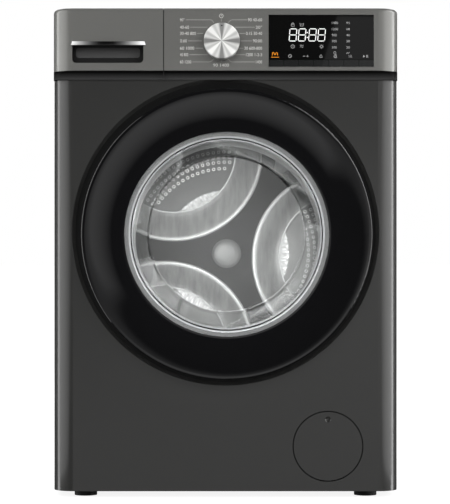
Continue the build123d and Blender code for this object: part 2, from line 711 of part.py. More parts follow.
def control_board():
    """Circuit board with the display module and the knob's encoder."""
    y0, y1 = at(BOARD_DEPTH), at(BOARD_DEPTH + BOARD_THICK)
    left = KNOB_X - KNOB_R - 2 * POST_R
    right = DISPLAY_RIGHT + 3 * POST_R
    z0, z1 = DISPLAY_BOTTOM, DISPLAY_TOP
    board = block(left, right, y0, y1, z0, z1)
    module_back = Y_FASCIA - DISPLAY_PROUD + DISPLAY_THICK + CLEAR
    board += block(DISPLAY_LEFT + KEY_HEIGHT, DISPLAY_RIGHT - KEY_HEIGHT, module_back, y0,
                   DISPLAY_BOTTOM + 2 * KEY_HEIGHT, DISPLAY_TOP - KEY_HEIGHT)
    board += block(KNOB_X - 3 * KNOB_SHAFT_R, KNOB_X + 3 * KNOB_SHAFT_R,
                   Y_FASCIA + FASCIA_WALL + 1, y0,
                   KNOB_Z - 3 * KNOB_SHAFT_R, KNOB_Z + 3 * KNOB_SHAFT_R)
    return board + rod_y(KNOB_X, KNOB_Z, KNOB_SHAFT_R, Y_FASCIA - KNOB_BORE, y0)


def program_knob():
    """Turning knob with a pointer dot, bored for the encoder shaft."""
    back, face = Y_FASCIA - CLEAR, Y_FASCIA - KNOB_PROUD
    knob = rod_y(KNOB_X, KNOB_Z, KNOB_R, face, back)
    knob = fillet(knob.faces().sort_by(Axis.Y)[0].edges(), KNOB_EDGE_R)
    knob -= rod_y(KNOB_X, KNOB_Z, KNOB_SHAFT_R + RUN, Y_FASCIA - KNOB_BORE - CLEAR, Y_FASCIA)
    return knob - rod_y(KNOB_X, KNOB_Z + KNOB_R - 2 * KNOB_EDGE_R, KNOB_EDGE_R / 2, face - 1,
                        face + 1)


def drawer_front():
    """Front of the detergent drawer: hollow, with the finger pocket."""
    part = fascia_block()
    part &= block(-FAR, SPLIT_X - SEAM, -FAR, at(DRAWER_FRONT_BACK), 0, HEIGHT + 1)
    rim = block(-FAR, SPLIT_X - SEAM - DRAWER_WALL_THICK, -FAR, FAR, FASCIA_BOTTOM + COVE_HEIGHT,
                HEIGHT)
    part -= fascia_hollow(DRAWER_WALL_THICK) & rim
    part -= block(CORNER_R - HALF - CLEAR, FAR, at(-CLEAR), FAR, 0,
                  FASCIA_BOTTOM + PANEL_TONGUE + CLEAR)
    x0, x1 = DRAWER_X - GRIP_WIDTH / 2, DRAWER_X + GRIP_WIDTH / 2
    z0 = GRIP_TOP - GRIP_HEIGHT
    z1 = GRIP_TOP + 2 * TRIM_HEIGHT
    back = Y_FASCIA + GRIP_DEPTH
    part += block(x0 - GRIP_WALL, x1 + GRIP_WALL, Y_FASCIA + 1, back + GRIP_WALL, z0 - GRIP_WALL,
                  z1 + GRIP_WALL)
    mouth = block(x0, x1, Y_FASCIA - 1, back, z0, GRIP_TOP)
    mouth = fillet(mouth.edges().filter_by(Axis.Y).group_by(Axis.Z)[0], GRIP_CORNER_R)
    part -= mouth
    return part - block(x0, x1, Y_FASCIA + DRAWER_WALL_THICK, back, z0 + GRIP_CORNER_R, z1)


def drawer_grip():
    """Bright bar along the top of the finger pocket, with slanted ends and a rounded nose."""
    half = TRIM_WIDTH / 2
    slant = TRIM_HEIGHT / 3
    outline = Plane.XZ * Pos(DRAWER_X, GRIP_TOP) * Polygon(
        (-half, 0), (half, 0), (half - slant, TRIM_HEIGHT), (slant - half, TRIM_HEIGHT), align=None)
    bar = Pos(0, Y_FASCIA, 0) * extrude(outline, TRIM_PROUD)
    nose = bar.edges().filter_by(Axis.X).group_by(Axis.Y)[0]
    return fillet(nose, TRIM_HEIGHT / 4)


def drawer_tray():
    """Detergent tray with three compartments."""
    x0, x1 = DRAWER_X - TRAY_WIDTH / 2, DRAWER_X + TRAY_WIDTH / 2
    y0, y1 = at(TRAY_FRONT), at(TRAY_FRONT + TRAY_LENGTH)
    z1 = TRAY_FLOOR + TRAY_HEIGHT
    tray = block(x0, x1, y0, y1, TRAY_FLOOR, z1)
    for a, b in tray_cells():
        tray -= block(a, b, y0 + TRAY_WALL, y1 - TRAY_WALL, TRAY_FLOOR + TRAY_WALL, z1 + 1)
    return tray


def tray_cells():
    """Left and right bounds of the tray's compartments."""
    first = DRAWER_X - TRAY_WIDTH / 2 + TRAY_WALL
    second = first + TRAY_FIRST + TRAY_WALL
    third = second + TRAY_SECOND + TRAY_WALL
    last = DRAWER_X + TRAY_WIDTH / 2 - TRAY_WALL
    return [(first, first + TRAY_FIRST), (second, second + TRAY_SECOND), (third, last)]


def dispenser_housing():
    """Box that the drawer runs in, with its outlet and its water inlet."""
    half = TRAY_WIDTH / 2 + HOUSING_GAP + HOUSING_WALL
    y0 = at(DRAWER_FRONT_BACK + SEAM + FASCIA_WALL)
    y1 = y0 + HOUSING_DEPTH
    z0, z1 = HOUSING_FLOOR, HOUSING_FLOOR + HOUSING_HEIGHT
    box = block(DRAWER_X - half, DRAWER_X + half, y0, y1, z0, z1)
    box -= block(DRAWER_X - half + HOUSING_WALL, DRAWER_X + half - HOUSING_WALL, y0 - 1,
                 y1 - HOUSING_WALL, z0 + HOUSING_WALL, z1 - HOUSING_WALL)
    box += rod_z(BELLOWS_X, at(BELLOWS_DEPTH), BELLOWS_R, BELLOWS_TOP_Z, z0 + HOUSING_WALL / 2)
    box -= rod_z(BELLOWS_X, at(BELLOWS_DEPTH), BELLOWS_R - SPIGOT_WALL, 0, z0 + 2 * HOUSING_WALL)
    box += rod_y(VALVE_X, VALVE_Z, VALVE_SPIGOT_R, y1 - HOUSING_WALL / 2, y1 + VALVE_SPIGOT)
    return box - rod_y(VALVE_X, VALVE_Z, VALVE_SPIGOT_R / 2, y1 - 2 * HOUSING_WALL,
                       y1 + VALVE_SPIGOT + 1)


# Water path

def inlet_valve():
    """Inlet valve with a hose thread outside and a spigot inside."""
    back = Y_REAR - SHEET - CLEAR
    front = back - VALVE_DEPTH
    valve = block(VALVE_X - VALVE_HALF, VALVE_X + VALVE_HALF, front, back, VALVE_Z - VALVE_HALF,
                  VALVE_Z + VALVE_HALF)
    valve += rod_y(VALVE_X, VALVE_Z, THREAD_R - CLEAR, back - 1, Y_REAR + SHEET)
    valve += rod_y(VALVE_X, VALVE_Z, THREAD_R, Y_REAR + SHEET, Y_REAR + REAR_PROUD)
    valve -= rod_y(VALVE_X, VALVE_Z, THREAD_R - SPIGOT_WALL, back + 1, Y_REAR + REAR_PROUD + 1)
    valve += rod_y(VALVE_X, VALVE_Z, VALVE_SPIGOT_R, front - VALVE_SPIGOT, front + 1)
    return valve - rod_y(VALVE_X, VALVE_Z, VALVE_SPIGOT_R / 2, front - VALVE_SPIGOT - 1, front)


def inner_hoses():
    """Fill hose from the valve to the dispenser, and drain hose from the pump to the back wall."""
    return [fill_hose(), drain_hose()]


def fill_hose():
    start = at(DRAWER_FRONT_BACK + SEAM + FASCIA_WALL) + HOUSING_DEPTH + CLEAR
    end = Y_REAR - SHEET - CLEAR - VALVE_DEPTH - CLEAR
    bore = VALVE_SPIGOT_R + CLEAR
    return pipe_y(VALVE_X, VALVE_Z, bore + HOSE_WALL, bore, start, end)


def dispenser_bellows():
    """Soft sleeve between the dispenser's outlet and the tub."""
    bore = BELLOWS_R + CLEAR
    return pipe_z(BELLOWS_X, at(BELLOWS_DEPTH), bore + HOSE_WALL, bore,
                  BELLOWS_BOTTOM_Z - BELLOWS_LAP, BELLOWS_TOP_Z + BELLOWS_LAP)


def sump_hose():
    """Soft sleeve between the tub's sump and the pump."""
    bore = SPIGOT_R + CLEAR
    return pipe_z(PUMP_INLET_X, at(PUMP_INLET_DEPTH), bore + HOSE_WALL, bore,
                  PUMP_INLET_Z - SUMP_LAP, SUMP_TOP_Z + SUMP_LAP)


def drain_pump():
    """Drain pump: filter chamber, motor, inlet, outlet and a foot on the base."""
    pump = rod_y(FLAP_X, FLAP_Z, PUMP_R, at(PUMP_FACE), at(PUMP_BACK))
    pump += block(FLAP_X - PUMP_MOTOR_HALF, FLAP_X + PUMP_MOTOR_HALF, at(PUMP_BACK - 1),
                  at(PUMP_MOTOR_BACK), FLAP_Z - PUMP_MOTOR_HALF, FLAP_Z + PUMP_MOTOR_HALF)
    pump += block(FLAP_X - PUMP_MOTOR_HALF, FLAP_X + PUMP_MOTOR_HALF, at(PUMP_FACE + 16),
                  at(PUMP_MOTOR_BACK - 10), BASE_Z + BASE_THICK + CLEAR, FLAP_Z)
    y = at(PUMP_INLET_DEPTH)
    pump += rod_z(PUMP_INLET_X, y, SPIGOT_R, FLAP_Z, PUMP_INLET_Z)
    pump += block(FLAP_X, PUMP_OUTLET_X, y, y + 3 * DRAIN_R, PUMP_OUTLET_Z - DRAIN_R / 2,
                  PUMP_OUTLET_Z + DRAIN_R / 2)
    pump += rod_y(PUMP_OUTLET_X, PUMP_OUTLET_Z, DRAIN_R, y, at(PUMP_OUTLET_END))
    pump -= rod_y(FLAP_X, FLAP_Z, PUMP_BORE_R, at(0), at(PUMP_BORE_END))
    pump -= rod_z(PUMP_INLET_X, y, SPIGOT_R - SPIGOT_WALL, FLAP_Z, PUMP_INLET_Z + 1)
    return pump - rod_y(PUMP_OUTLET_X, PUMP_OUTLET_Z, DRAIN_R - DRAIN_WALL, y + 2 * DRAIN_WALL,
                        at(PUMP_OUTLET_END) + 1)


def filter_plug():
    """Lint filter plug with a grip bar."""
    plug = rod_y(FLAP_X, FLAP_Z, PLUG_FLANGE_R, at(PLUG_FLANGE_FACE), at(PUMP_FACE - CLEAR))
    plug += rod_y(FLAP_X, FLAP_Z, PUMP_BORE_R - CLEAR, at(PUMP_FACE - 1),
                  at(PUMP_BORE_END - 2 * SPIGOT_WALL))
    plug -= rod_y(FLAP_X, FLAP_Z, PUMP_BORE_R - CLEAR - SPIGOT_WALL, at(PUMP_FACE + SPIGOT_WALL),
                  at(PUMP_BORE_END))
    return plug + block(FLAP_X - PLUG_GRIP_HALF, FLAP_X + PLUG_GRIP_HALF, at(PLUG_GRIP_FACE),
                        at(PLUG_FLANGE_FACE + 1), FLAP_Z - PLUG_GRIP_THICK / 2,
                        FLAP_Z + PLUG_GRIP_THICK / 2)


def drain_hose():
    """The drain hose ends in a spigot through the back wall."""
    start = at(PUMP_OUTLET_END - DRAIN_R)
    route = FilletPolyline(
        (PUMP_OUTLET_X, start, PUMP_OUTLET_Z),
        (PUMP_OUTLET_X, at(DRAIN_BENDS[0] * BODY_DEPTH), PUMP_OUTLET_Z),
        (DRAIN_X, at(DRAIN_BENDS[1] * BODY_DEPTH), DRAIN_Z),
        (DRAIN_X, Y_REAR - SHEET - CLEAR, DRAIN_Z), radius=[DRAIN_BEND_R, DRAIN_BEND_R])
    bore = DRAIN_R + CLEAR
    section = Plane(origin=route @ 0, z_dir=route % 0) * (Circle(bore + HOSE_WALL) - Circle(bore))
    hose = sweep(section, path=route)
    end = rod_y(DRAIN_X, DRAIN_Z, bore + HOSE_WALL / 2, Y_REAR - DRAIN_TAIL,
                Y_REAR - SHEET - CLEAR)
    end += rod_y(DRAIN_X, DRAIN_Z, DRAIN_R - CLEAR, Y_REAR - DRAIN_TAIL, Y_REAR + SHEET)
    end += rod_y(DRAIN_X, DRAIN_Z, DRAIN_R, Y_REAR + SHEET, Y_REAR + REAR_PROUD - 2)
    end -= rod_y(DRAIN_X, DRAIN_Z, DRAIN_R - DRAIN_WALL, Y_REAR - DRAIN_TAIL - 1,
                 Y_REAR + REAR_PROUD)
    return hose + end


# Back fittings and fasteners

def mains_gland():
    """Gland in the back wall, bored for the supply lead."""
    gland = rod_y(GLAND_X, GLAND_Z, GLAND_R, Y_REAR - GLAND_TAIL, Y_REAR + GLAND_PROUD)
    gland += rod_y(GLAND_X, GLAND_Z, GLAND_FLANGE_R, Y_REAR + CLEAR, Y_REAR + GLAND_FLANGE)
    gland += rod_y(GLAND_X, GLAND_Z, GLAND_FLANGE_R, Y_REAR - SHEET - GLAND_FLANGE,
                   Y_REAR - SHEET - CLEAR)
    return gland - rod_y(GLAND_X, GLAND_Z, GLAND_BORE_R, Y_REAR - GLAND_TAIL - 1,
                         Y_REAR + GLAND_PROUD + 1)


def transit_bolt_caps():
    """Caps over the four transit bolt holes."""
    caps = []
    for x, z in cap_places():
        cap = rod_y(x, z, CAP_R, Y_REAR + CLEAR, Y_REAR + CAP_THICK)
        caps.append(cap + rod_y(x, z, CAP_PLUG_R, Y_REAR - CAP_PLUG, Y_REAR + 1))
    return caps


def cabinet_fasteners():
    """Screws of the rear cover and the worktop, and the lock nuts of the feet."""
    pieces = []
    for x, z in cover_screws():
        pieces.append(screw(x, z, Y_REAR + SHEET))
    for x, z in top_screws():
        pieces.append(screw(x, z, Y_REAR))
    for x, y in foot_places():
        nut = extrude(Pos(x, y, FOOT_PAD + CLEAR) * RegularPolygon(NUT_R, 6),
                      BASE_Z - FOOT_PAD - 2 * CLEAR)
        pieces.append(nut - rod_z(x, y, STUD_R + CLEAR, 0, HEIGHT))
    return pieces


def screw(x, z, seat):
    """A pan-head screw driven along -Y, with its head on seat."""
    head = rod_y(x, z, SCREW_HEAD_R, seat, seat + SCREW_HEAD)
    head = fillet(head.faces().sort_by(Axis.Y)[-1].edges(), SCREW_HEAD / 3)
    return head + rod_y(x, z, SCREW_R, seat - SCREW_LENGTH, seat + 1)


def foot_places():
    """Centres of the feet: front left, front right, rear left, rear right."""
    rows = (at(FOOT_FRONT), at(BODY_DEPTH - FOOT_REAR_INSET))
    return [(x, y) for y in rows for x in (-FOOT_X, FOOT_X)]


def foot(x, y):
    """Levelling foot: a round pad and its stud."""
    pad = rod_z(x, y, FOOT_R, 0, FOOT_PAD)
    pad = fillet(pad.faces().sort_by(Axis.Z)[-1].edges(), FOOT_EDGE_R)
    return pad + rod_z(x, y, STUD_R, FOOT_PAD / 2, STUD_TOP)


def service_flap():
    """Round flap flush with the panel, with a finger dimple and two curved hinge arms."""
    flap = rod_y(FLAP_X, FLAP_Z, FLAP_R, at(0), at(FLAP_THICK))
    flap -= Pos(FLAP_X, at(DIMPLE_DEPTH - DIMPLE_R), FLAP_Z + DIMPLE_RISE) * Sphere(DIMPLE_R)
    for s in (-1, 1):
        flap += flap_arm(*sorted((FLAP_X + s * FLAP_LUG[0], FLAP_X + s * FLAP_LUG[1])))
    return flap


def flap_arm(x0, x1):
    """Hinge arm that curves round the panel's edge as the flap swings."""
    y, z = at(FLAP_AXIS_DEPTH), FLAP_AXIS_Z
    inner, outer = FLAP_ARM_R
    foot = z - FLAP_LUG_R + RUN
    arm = rod_x(y, z, outer, x0, x1) - rod_x(y, z, inner, x0 - 1, x1 + 1)
    arm &= block(x0, x1, at(FLAP_THICK - 1), y + outer, foot, z + outer)
    arm += block(x0, x1, y, y + inner + 1, foot, z + FLAP_LUG_R / 2)
    arm += rod_x(y, z, FLAP_LUG_R, x0, x1)
    return arm - rod_x(y, z, FLAP_PIN_R + RUN, x0 - 1, x1 + 1)


# Door

def door_ring():
    """Dished outer ring of the door, slotted for the hinge arms and opened for the fingers."""
    crest = RIM_R - RIM_CREST
    lip = RING_IN_R + RING_WALL
    inward = (-1, 0, 0)
    rim = FilletPolyline((DOOR_R, at(-DOOR_BACK), 0), (RIM_R, at(-RIM_PROUD), 0),
                         (crest, at(-RIM_PROUD), 0), radius=RIM_ROUND_R)
    dish = TangentArc((crest, at(-RIM_PROUD), 0), (lip, at(-RING_IN_PROUD), 0), tangent=inward)
    seat = Polyline((lip, at(-RING_IN_PROUD), 0), (RING_IN_R, at(-RING_IN_PROUD), 0),
                    (RING_IN_R, at(RING_WALL - RING_IN_PROUD), 0),
                    (lip + 1, at(RING_WALL - RING_IN_PROUD), 0))
    under = TangentArc((crest - RING_WALL, at(RING_WALL - RIM_PROUD), 0),
                       (lip + 1, at(RING_WALL - RING_IN_PROUD), 0), tangent=inward)
    wall = Polyline((crest - RING_WALL, at(RING_WALL - RIM_PROUD), 0),
                    (RIM_R - RING_WALL, at(RING_WALL - RIM_PROUD), 0),
                    (DOOR_R - RING_WALL, at(-DOOR_BACK), 0), (DOOR_R, at(-DOOR_BACK), 0))
    ring = Pos(AXIS_X, 0, AXIS_Z) * revolve(make_face([rim, dish, seat, under, wall]), Axis.Y)
    for s in (-1, 1):
        ring -= hinge_slot(s, AXIS_X - DOOR_R - 9, HINGE_X - HINGE_ARM_R + 1)
    return ring - finger_space()


def hinge_slot(side, x0, x1):
    """Space that a hinge arm sweeps in the door, above or below its middle."""
    z = AXIS_Z + side * HINGE_ARM_Z
    half = HINGE_ARM_THICK / 2 + 1
    return block(x0, x1, at(-HINGE_PROUD - HINGE_ARM_R - 2), at(0), z - half, z + half)


def finger_space():
    """Grip on the door's free side, behind the rim."""
    x1 = AXIS_X + DOOR_R + 5
    return block(x1 - FINGER_DEPTH - 5, x1, at(RING_WALL + 4 - RIM_PROUD), at(-FRAME_FRONT),
                 AXIS_Z - FINGER_HALF, AXIS_Z + FINGER_HALF)


def door_glass():
    """Glass bowl with its flange."""
    rim = FLANGE_FRONT
    outer = FilletPolyline((GLASS_FLANGE_R, at(-rim), 0), (GLASS_FLANGE_R, at(-FLANGE_BACK), 0),
                           (BOWL_MOUTH_R, at(-FLANGE_BACK), 0),
                           (BOWL_BASE_R, at(BOWL_REACH - BOWL_CROWN), 0), (0, at(BOWL_REACH), 0),
                           radius=[1.5, 2, BOWL_CORNER_R])
    inside = FilletPolyline((0, at(BOWL_REACH - GLASS_THICK), 0),
                            (BOWL_BASE_R - GLASS_THICK, at(BOWL_REACH - BOWL_CROWN - GLASS_THICK), 0),
                            (BOWL_MOUTH_R - GLASS_THICK, at(-rim), 0),
                            (GLASS_FLANGE_R, at(-rim), 0), radius=[BOWL_CORNER_R - GLASS_THICK, 3])
    axis = Line((0, at(BOWL_REACH), 0), (0, at(BOWL_REACH - GLASS_THICK), 0))
    return Pos(AXIS_X, 0, AXIS_Z) * revolve(make_face([outer, axis, inside]), Axis.Y)


def door_inner_frame():
    """Back frame of the door: seats the glass, and carries the hinge ears and the hook's pin."""
    front, back = at(-FRAME_FRONT), at(FRAME_THICK - FRAME_FRONT)
    wall = front - FRAME_WALL_HEIGHT
    seat = GLASS_FLANGE_R + CLEAR
    bore = BOWL_MOUTH_R + 1.5
    frame = turned([(bore, back), (FRAME_R, back), (FRAME_R, wall), (FRAME_R - FRAME_WALL, wall),
                    (FRAME_R - FRAME_WALL, front), (seat + FRAME_WALL, front),
                    (seat + FRAME_WALL, at(-FLANGE_FRONT)), (seat, at(-FLANGE_FRONT)),
                    (seat, front), (bore, front)], AXIS_X, AXIS_Z)
    frame -= finger_space()
    pocket = AXIS_X + DOOR_R - FINGER_DEPTH - FRAME_WALL - CLEAR
    frame += block(pocket, pocket + FRAME_WALL, front - FRAME_WALL_HEIGHT, front + 1,
                   AXIS_Z - FINGER_HALF, AXIS_Z + FINGER_HALF)
    for s in (-1, 1):
        frame -= hinge_slot(s, AXIS_X - DOOR_R - 9, AXIS_X - HINGE_PLATE_X + HINGE_PLATE_HALF + 3)
        near = HINGE_ARM_Z - HINGE_ARM_THICK / 2 - 2 * CLEAR
        z0, z1 = sorted((AXIS_Z + s * near, AXIS_Z + s * (near - EAR_THICK)))
        reach = 2 * HINGE_PIN_R
        frame += block(HINGE_X - reach, HINGE_X + 2 * reach, at(-HINGE_PROUD) - reach + 1,
                       front + 1, z0, z1)
    frame -= rod_z(HINGE_X, at(-HINGE_PROUD), HINGE_PIN_R + RUN, 0, HEIGHT)
    hook = AXIS_X + HOOK_X
    room = HOOK_HALF + CLEAR
    frame -= block(hook - HOOK_ROOM, hook + HOOK_ROOM, wall, back + 1, AXIS_Z - room,
                   AXIS_Z + room)
    for s in (-1, 1):
        z0, z1 = sorted((AXIS_Z + s * room, AXIS_Z + s * (room + HOOK_CHEEK)))
        frame += block(hook - HOOK_HALF, hook + HOOK_HALF, at(-HOOK_PROUD) - HOOK_HALF, front + 1,
                       z0, z1)
    return frame + rod_z(hook, at(-HOOK_PROUD), HOOK_PIN_R, AXIS_Z - room - 1, AXIS_Z + room + 1)


def door_hook():
    """Latch hook that turns on its pin in the door."""
    hook = AXIS_X + HOOK_X
    z0, z1 = AXIS_Z - HOOK_HALF, AXIS_Z + HOOK_HALF
    part = block(hook - HOOK_HALF, hook + HOOK_HALF, at(-HOOK_PROUD), at(HOOK_REACH), z0, z1)
    part += rod_z(hook, at(-HOOK_PROUD), HOOK_HALF, z0, z1)
    barb = Pos(0, 0, z0) * make_face(Polyline(
        (hook, at(HOOK_REACH)), (hook + HOOK_HALF, at(HOOK_REACH)),
        (hook + HOOK_HALF + HOOK_BARB, at(HOOK_REACH - HOOK_BARB)),
        (hook, at(HOOK_REACH - HOOK_BARB)), close=True))
    part += extrude(barb, z1 - z0)
    return part - rod_z(hook, at(-HOOK_PROUD), HOOK_PIN_R + RUN, 0, HEIGHT)


def door_lock():
    """Door lock behind the panel, with the slot that takes the hook."""
    hook = AXIS_X + HOOK_X
    y0 = at(RECESS_DEPTH + SHEET)
    x0, x1 = hook - 4 * HOOK_HALF, hook + 5 * HOOK_HALF
    lock = block(x0, x1, y0, y0 + LOCK_DEPTH, AXIS_Z - LOCK_HEIGHT / 2, AXIS_Z + LOCK_HEIGHT / 2)
    return lock - block(x0 + LOCK_WALL, x1 - LOCK_WALL, y0 - 1, y0 + LOCK_DEPTH - LOCK_WALL,
                        AXIS_Z - 2 * HOOK_HALF, AXIS_Z + 2 * HOOK_HALF)


def door_hinge():
    """Hinge bracket on the recess floor, with two arms, and the hinge pin."""
    floor = at(RECESS_DEPTH)
    plate_x = AXIS_X - HINGE_PLATE_X
    reach = HINGE_ARM_Z + HINGE_ARM_THICK / 2
    plate = block(plate_x - HINGE_PLATE_HALF, plate_x + HINGE_PLATE_HALF, floor - HINGE_PLATE_THICK,
                  floor, AXIS_Z - reach - HINGE_PLATE_MARGIN, AXIS_Z + reach + HINGE_PLATE_MARGIN)
    pin_y = at(-HINGE_PROUD)
    run = hypot(plate_x - HINGE_X, floor - HINGE_PLATE_THICK / 2 - pin_y)
    angle = degrees(atan2(floor - HINGE_PLATE_THICK / 2 - pin_y, plate_x - HINGE_X))
    for s in (-1, 1):
        z = AXIS_Z + s * HINGE_ARM_Z
        arm = Pos(run / 2, 0, 0) * Box(run, 1.3 * HINGE_ARM_R, HINGE_ARM_THICK)
        arm += Cylinder(HINGE_ARM_R, HINGE_ARM_THICK)
        arm = Pos(HINGE_X, pin_y, z) * Rot(0, 0, angle) * arm
        plate += arm - block(-FAR, FAR, floor, FAR, 0, HEIGHT)
    plate -= rod_z(HINGE_X, pin_y, HINGE_PIN_R + RUN / 2, 0, HEIGHT)
    pin = rod_z(HINGE_X, pin_y, HINGE_PIN_R, AXIS_Z - reach - 2, AXIS_Z + reach + 2)
    return [plate, pin]


def door_gasket():
    """Rubber gasket from the panel's aperture to the tub's mouth."""
    lip_r = APERTURE_R - CLEAR
    inner = BOWL_MOUTH_R - 3.0
    front = at(RECESS_DEPTH - 4)
    lip_end = at(RECESS_DEPTH + APERTURE_FLANGE + 2)
    lip = turned([(inner, front), (lip_r + 8, front), (lip_r + 8, at(RECESS_DEPTH - CLEAR)),
                  (lip_r, at(RECESS_DEPTH - CLEAR)), (lip_r, lip_end), (inner, lip_end)],
                 AXIS_X, AXIS_Z)
    cuff_in = TUB_MOUTH_R + COLLAR_WALL + CLEAR
    cuff_out = cuff_in + 4.0
    cuff = tilted(pipe_y(0, 0, cuff_out, cuff_in, COLLAR_V - 3, TUB_FRONT_V - 2))
    start = Plane(origin=(AXIS_X, lip_end - 2, AXIS_Z), x_dir=(1, 0, 0), z_dir=(0, 1, 0))
    place = tilted(Pos(0, COLLAR_V - CLEAR, 0) * Rot(-90, 0, 0) * Rectangle(1, 1)).face()
    finish = Plane(origin=place.center(), x_dir=(1, 0, 0), z_dir=(0, cos(radians(TILT)),
                                                                 -sin(radians(TILT))))
    outside = loft([start * Circle(lip_r), finish * Circle(cuff_out)])
    hollow = loft([start * Circle(inner), finish * Circle(cuff_in - 2)])
    return lip + cuff + (outside - hollow)


# Tub and what hangs on it

def tub_front():
    """Front half of the tub with its mouth collar, and the sump outlet."""
    edge = TUB_SPLIT_V - CLEAR / 2
    shell = tilted(turned([
        (TUB_MOUTH_R, COLLAR_V), (TUB_MOUTH_R + COLLAR_WALL, COLLAR_V),
        (TUB_MOUTH_R + COLLAR_WALL, TUB_FRONT_V), (TUB_OUT_R, TUB_FRONT_V),
        (TUB_OUT_R, edge - TUB_FLANGE_THICK), (TUB_FLANGE_R, edge - TUB_FLANGE_THICK),
        (TUB_FLANGE_R, edge), (TUB_R, edge), (TUB_R, TUB_FRONT_V + TUB_WALL),
        (TUB_MOUTH_R, TUB_FRONT_V + TUB_WALL)]))
    y = at(PUMP_INLET_DEPTH)
    spout = rod_z(PUMP_INLET_X, y, SPIGOT_R, SUMP_TOP_Z, AXIS_Z) - tub_core()
    shell += spout
    return shell - rod_z(PUMP_INLET_X, y, SPIGOT_R - SPIGOT_WALL, SUMP_TOP_Z - 1,
                         AXIS_Z - TUB_R / 2)


def tub_rear():
    """Rear half of the tub: bearing hub, ribs, spring lugs, damper ears and motor ears."""
    edge = TUB_SPLIT_V + CLEAR / 2
    back = TUB_REAR_V + TUB_WALL
    neck = REAR_BEARING[1] + 7
    shell = turned([
        (TUB_R, edge), (TUB_FLANGE_R, edge), (TUB_FLANGE_R, edge + TUB_FLANGE_THICK),
        (TUB_OUT_R, edge + TUB_FLANGE_THICK), (TUB_OUT_R, back), (TUB_HUB_R, back),
        (TUB_HUB_R, HUB_END_V), (REAR_BEARING[0], HUB_END_V), (REAR_BEARING[0], REAR_BEARING_V),
        (neck, REAR_BEARING_V), (neck, FRONT_BEARING_V + FRONT_BEARING[2]),
        (FRONT_BEARING[0], FRONT_BEARING_V + FRONT_BEARING[2]), (FRONT_BEARING[0], TUB_REAR_V),
        (TUB_R, TUB_REAR_V)])
    for i in range(TUB_RIBS):
        rib = block(TUB_HUB_R - 1, TUB_OUT_R - 4, back - 1, back + RIB_HEIGHT, -RIB_THICK / 2,
                    RIB_THICK / 2)
        shell += Rot(0, 360 * (i + 0.5) / TUB_RIBS, 0) * rib
    saddle = MOTOR_REACH - MOTOR_R + SADDLE_BITE
    for v in SADDLE_V:
        ear = block(TUB_R / 1.2, saddle - CLEAR, v, v + MOTOR_EAR_THICK, -SADDLE_HALF, SADDLE_HALF)
        ear -= rod_y(0, 0, TUB_R + TUB_WALL / 2, v - 1, v + MOTOR_EAR_THICK + 1)
        ear -= rod_y(MOTOR_REACH, 0, MOTOR_R + CLEAR, v - 1, v + MOTOR_EAR_THICK + 1)
        shell += Rot(0, -MOTOR_ANGLE, 0) * ear
    for s in (-1, 1):
        shell -= heater_hole(s)
    shell = tilted(shell)
    core = tub_core()
    lug = block(0, SPRING_X + SPRING_R, at(SPRING_DEPTH - SPRING_R),
                at(SPRING_DEPTH + SPRING_R), SPRING_FOOT_Z - CLEAR - LUG_THICK,
                SPRING_FOOT_Z - CLEAR)
    ears = block(DAMPER_X - EYE_R, DAMPER_X + EYE_R,
                 at(DAMPER_DEPTH - EYE_THICK / 2 - EYE_PIN_LENGTH - CLEAR),
                 at(DAMPER_DEPTH + EYE_THICK / 2 + EYE_PIN_LENGTH + CLEAR),
                 DAMPER_HEAD_Z - EYE_R, AXIS_Z - TUB_R / 2)
    ears -= block(DAMPER_X - EYE_R - 1, DAMPER_X + EYE_R + 1,
                  at(DAMPER_DEPTH - EYE_THICK / 2 - CLEAR),
                  at(DAMPER_DEPTH + EYE_THICK / 2 + CLEAR),
                  DAMPER_HEAD_Z - EYE_R - 1, DAMPER_HEAD_Z + EYE_R + CLEAR)
    ears -= rod_y(DAMPER_X, DAMPER_HEAD_Z, EYE_PIN_R + CLEAR, at(0), at(BODY_DEPTH))
    shell += both_sides(lug) - core
    shell += both_sides(ears) - core
    inlet = rod_z(BELLOWS_X, at(BELLOWS_DEPTH), BELLOWS_R, AXIS_Z, BELLOWS_BOTTOM_Z) - core
    shell += inlet
    return shell - rod_z(BELLOWS_X, at(BELLOWS_DEPTH), BELLOWS_R - SPIGOT_WALL, AXIS_Z,
                         BELLOWS_BOTTOM_Z + 1)


def heater_radius():
    """Distance of the heater tube from the drum's axis: midway between drum and tub."""
    return (DRUM_R + TUB_R) / 2


def heater_hole(side):
    w = -sqrt(heater_radius() ** 2 - HEATER_U ** 2)
    return rod_y(side * HEATER_U, w, HEATER_R + CLEAR, TUB_REAR_V - 1,
                 TUB_REAR_V + TUB_WALL + 2 * RIB_HEIGHT)


def heater():
    """Tubular heater: two legs under the drum, joined at the front by an arc."""
    r = heater_radius()
    w = -sqrt(r ** 2 - HEATER_U ** 2)
    end = TUB_REAR_V + TUB_WALL + HEATER_TAIL
    tube = rod_y(-HEATER_U, w, HEATER_R, HEATER_FRONT_V, end)
    tube += rod_y(HEATER_U, w, HEATER_R, HEATER_FRONT_V, end)
    bend = Plane(origin=(0, HEATER_FRONT_V, 0), x_dir=(1, 0, 0), z_dir=(0, -1, 0))
    arc = bend * ThreePointArc((-HEATER_U, w), (0, -r), (HEATER_U, w))
    tube += sweep(Plane(origin=arc @ 0, z_dir=arc % 0) * Circle(HEATER_R), path=arc)
    for s in (-1, 1):
        tube += Pos(s * HEATER_U, HEATER_FRONT_V, w) * Sphere(HEATER_R)
        seat = TUB_REAR_V + TUB_WALL + CLEAR
        tube += rod_y(s * HEATER_U, w, HEATER_R + 3, seat, seat + 4)
    return tilted(tube)


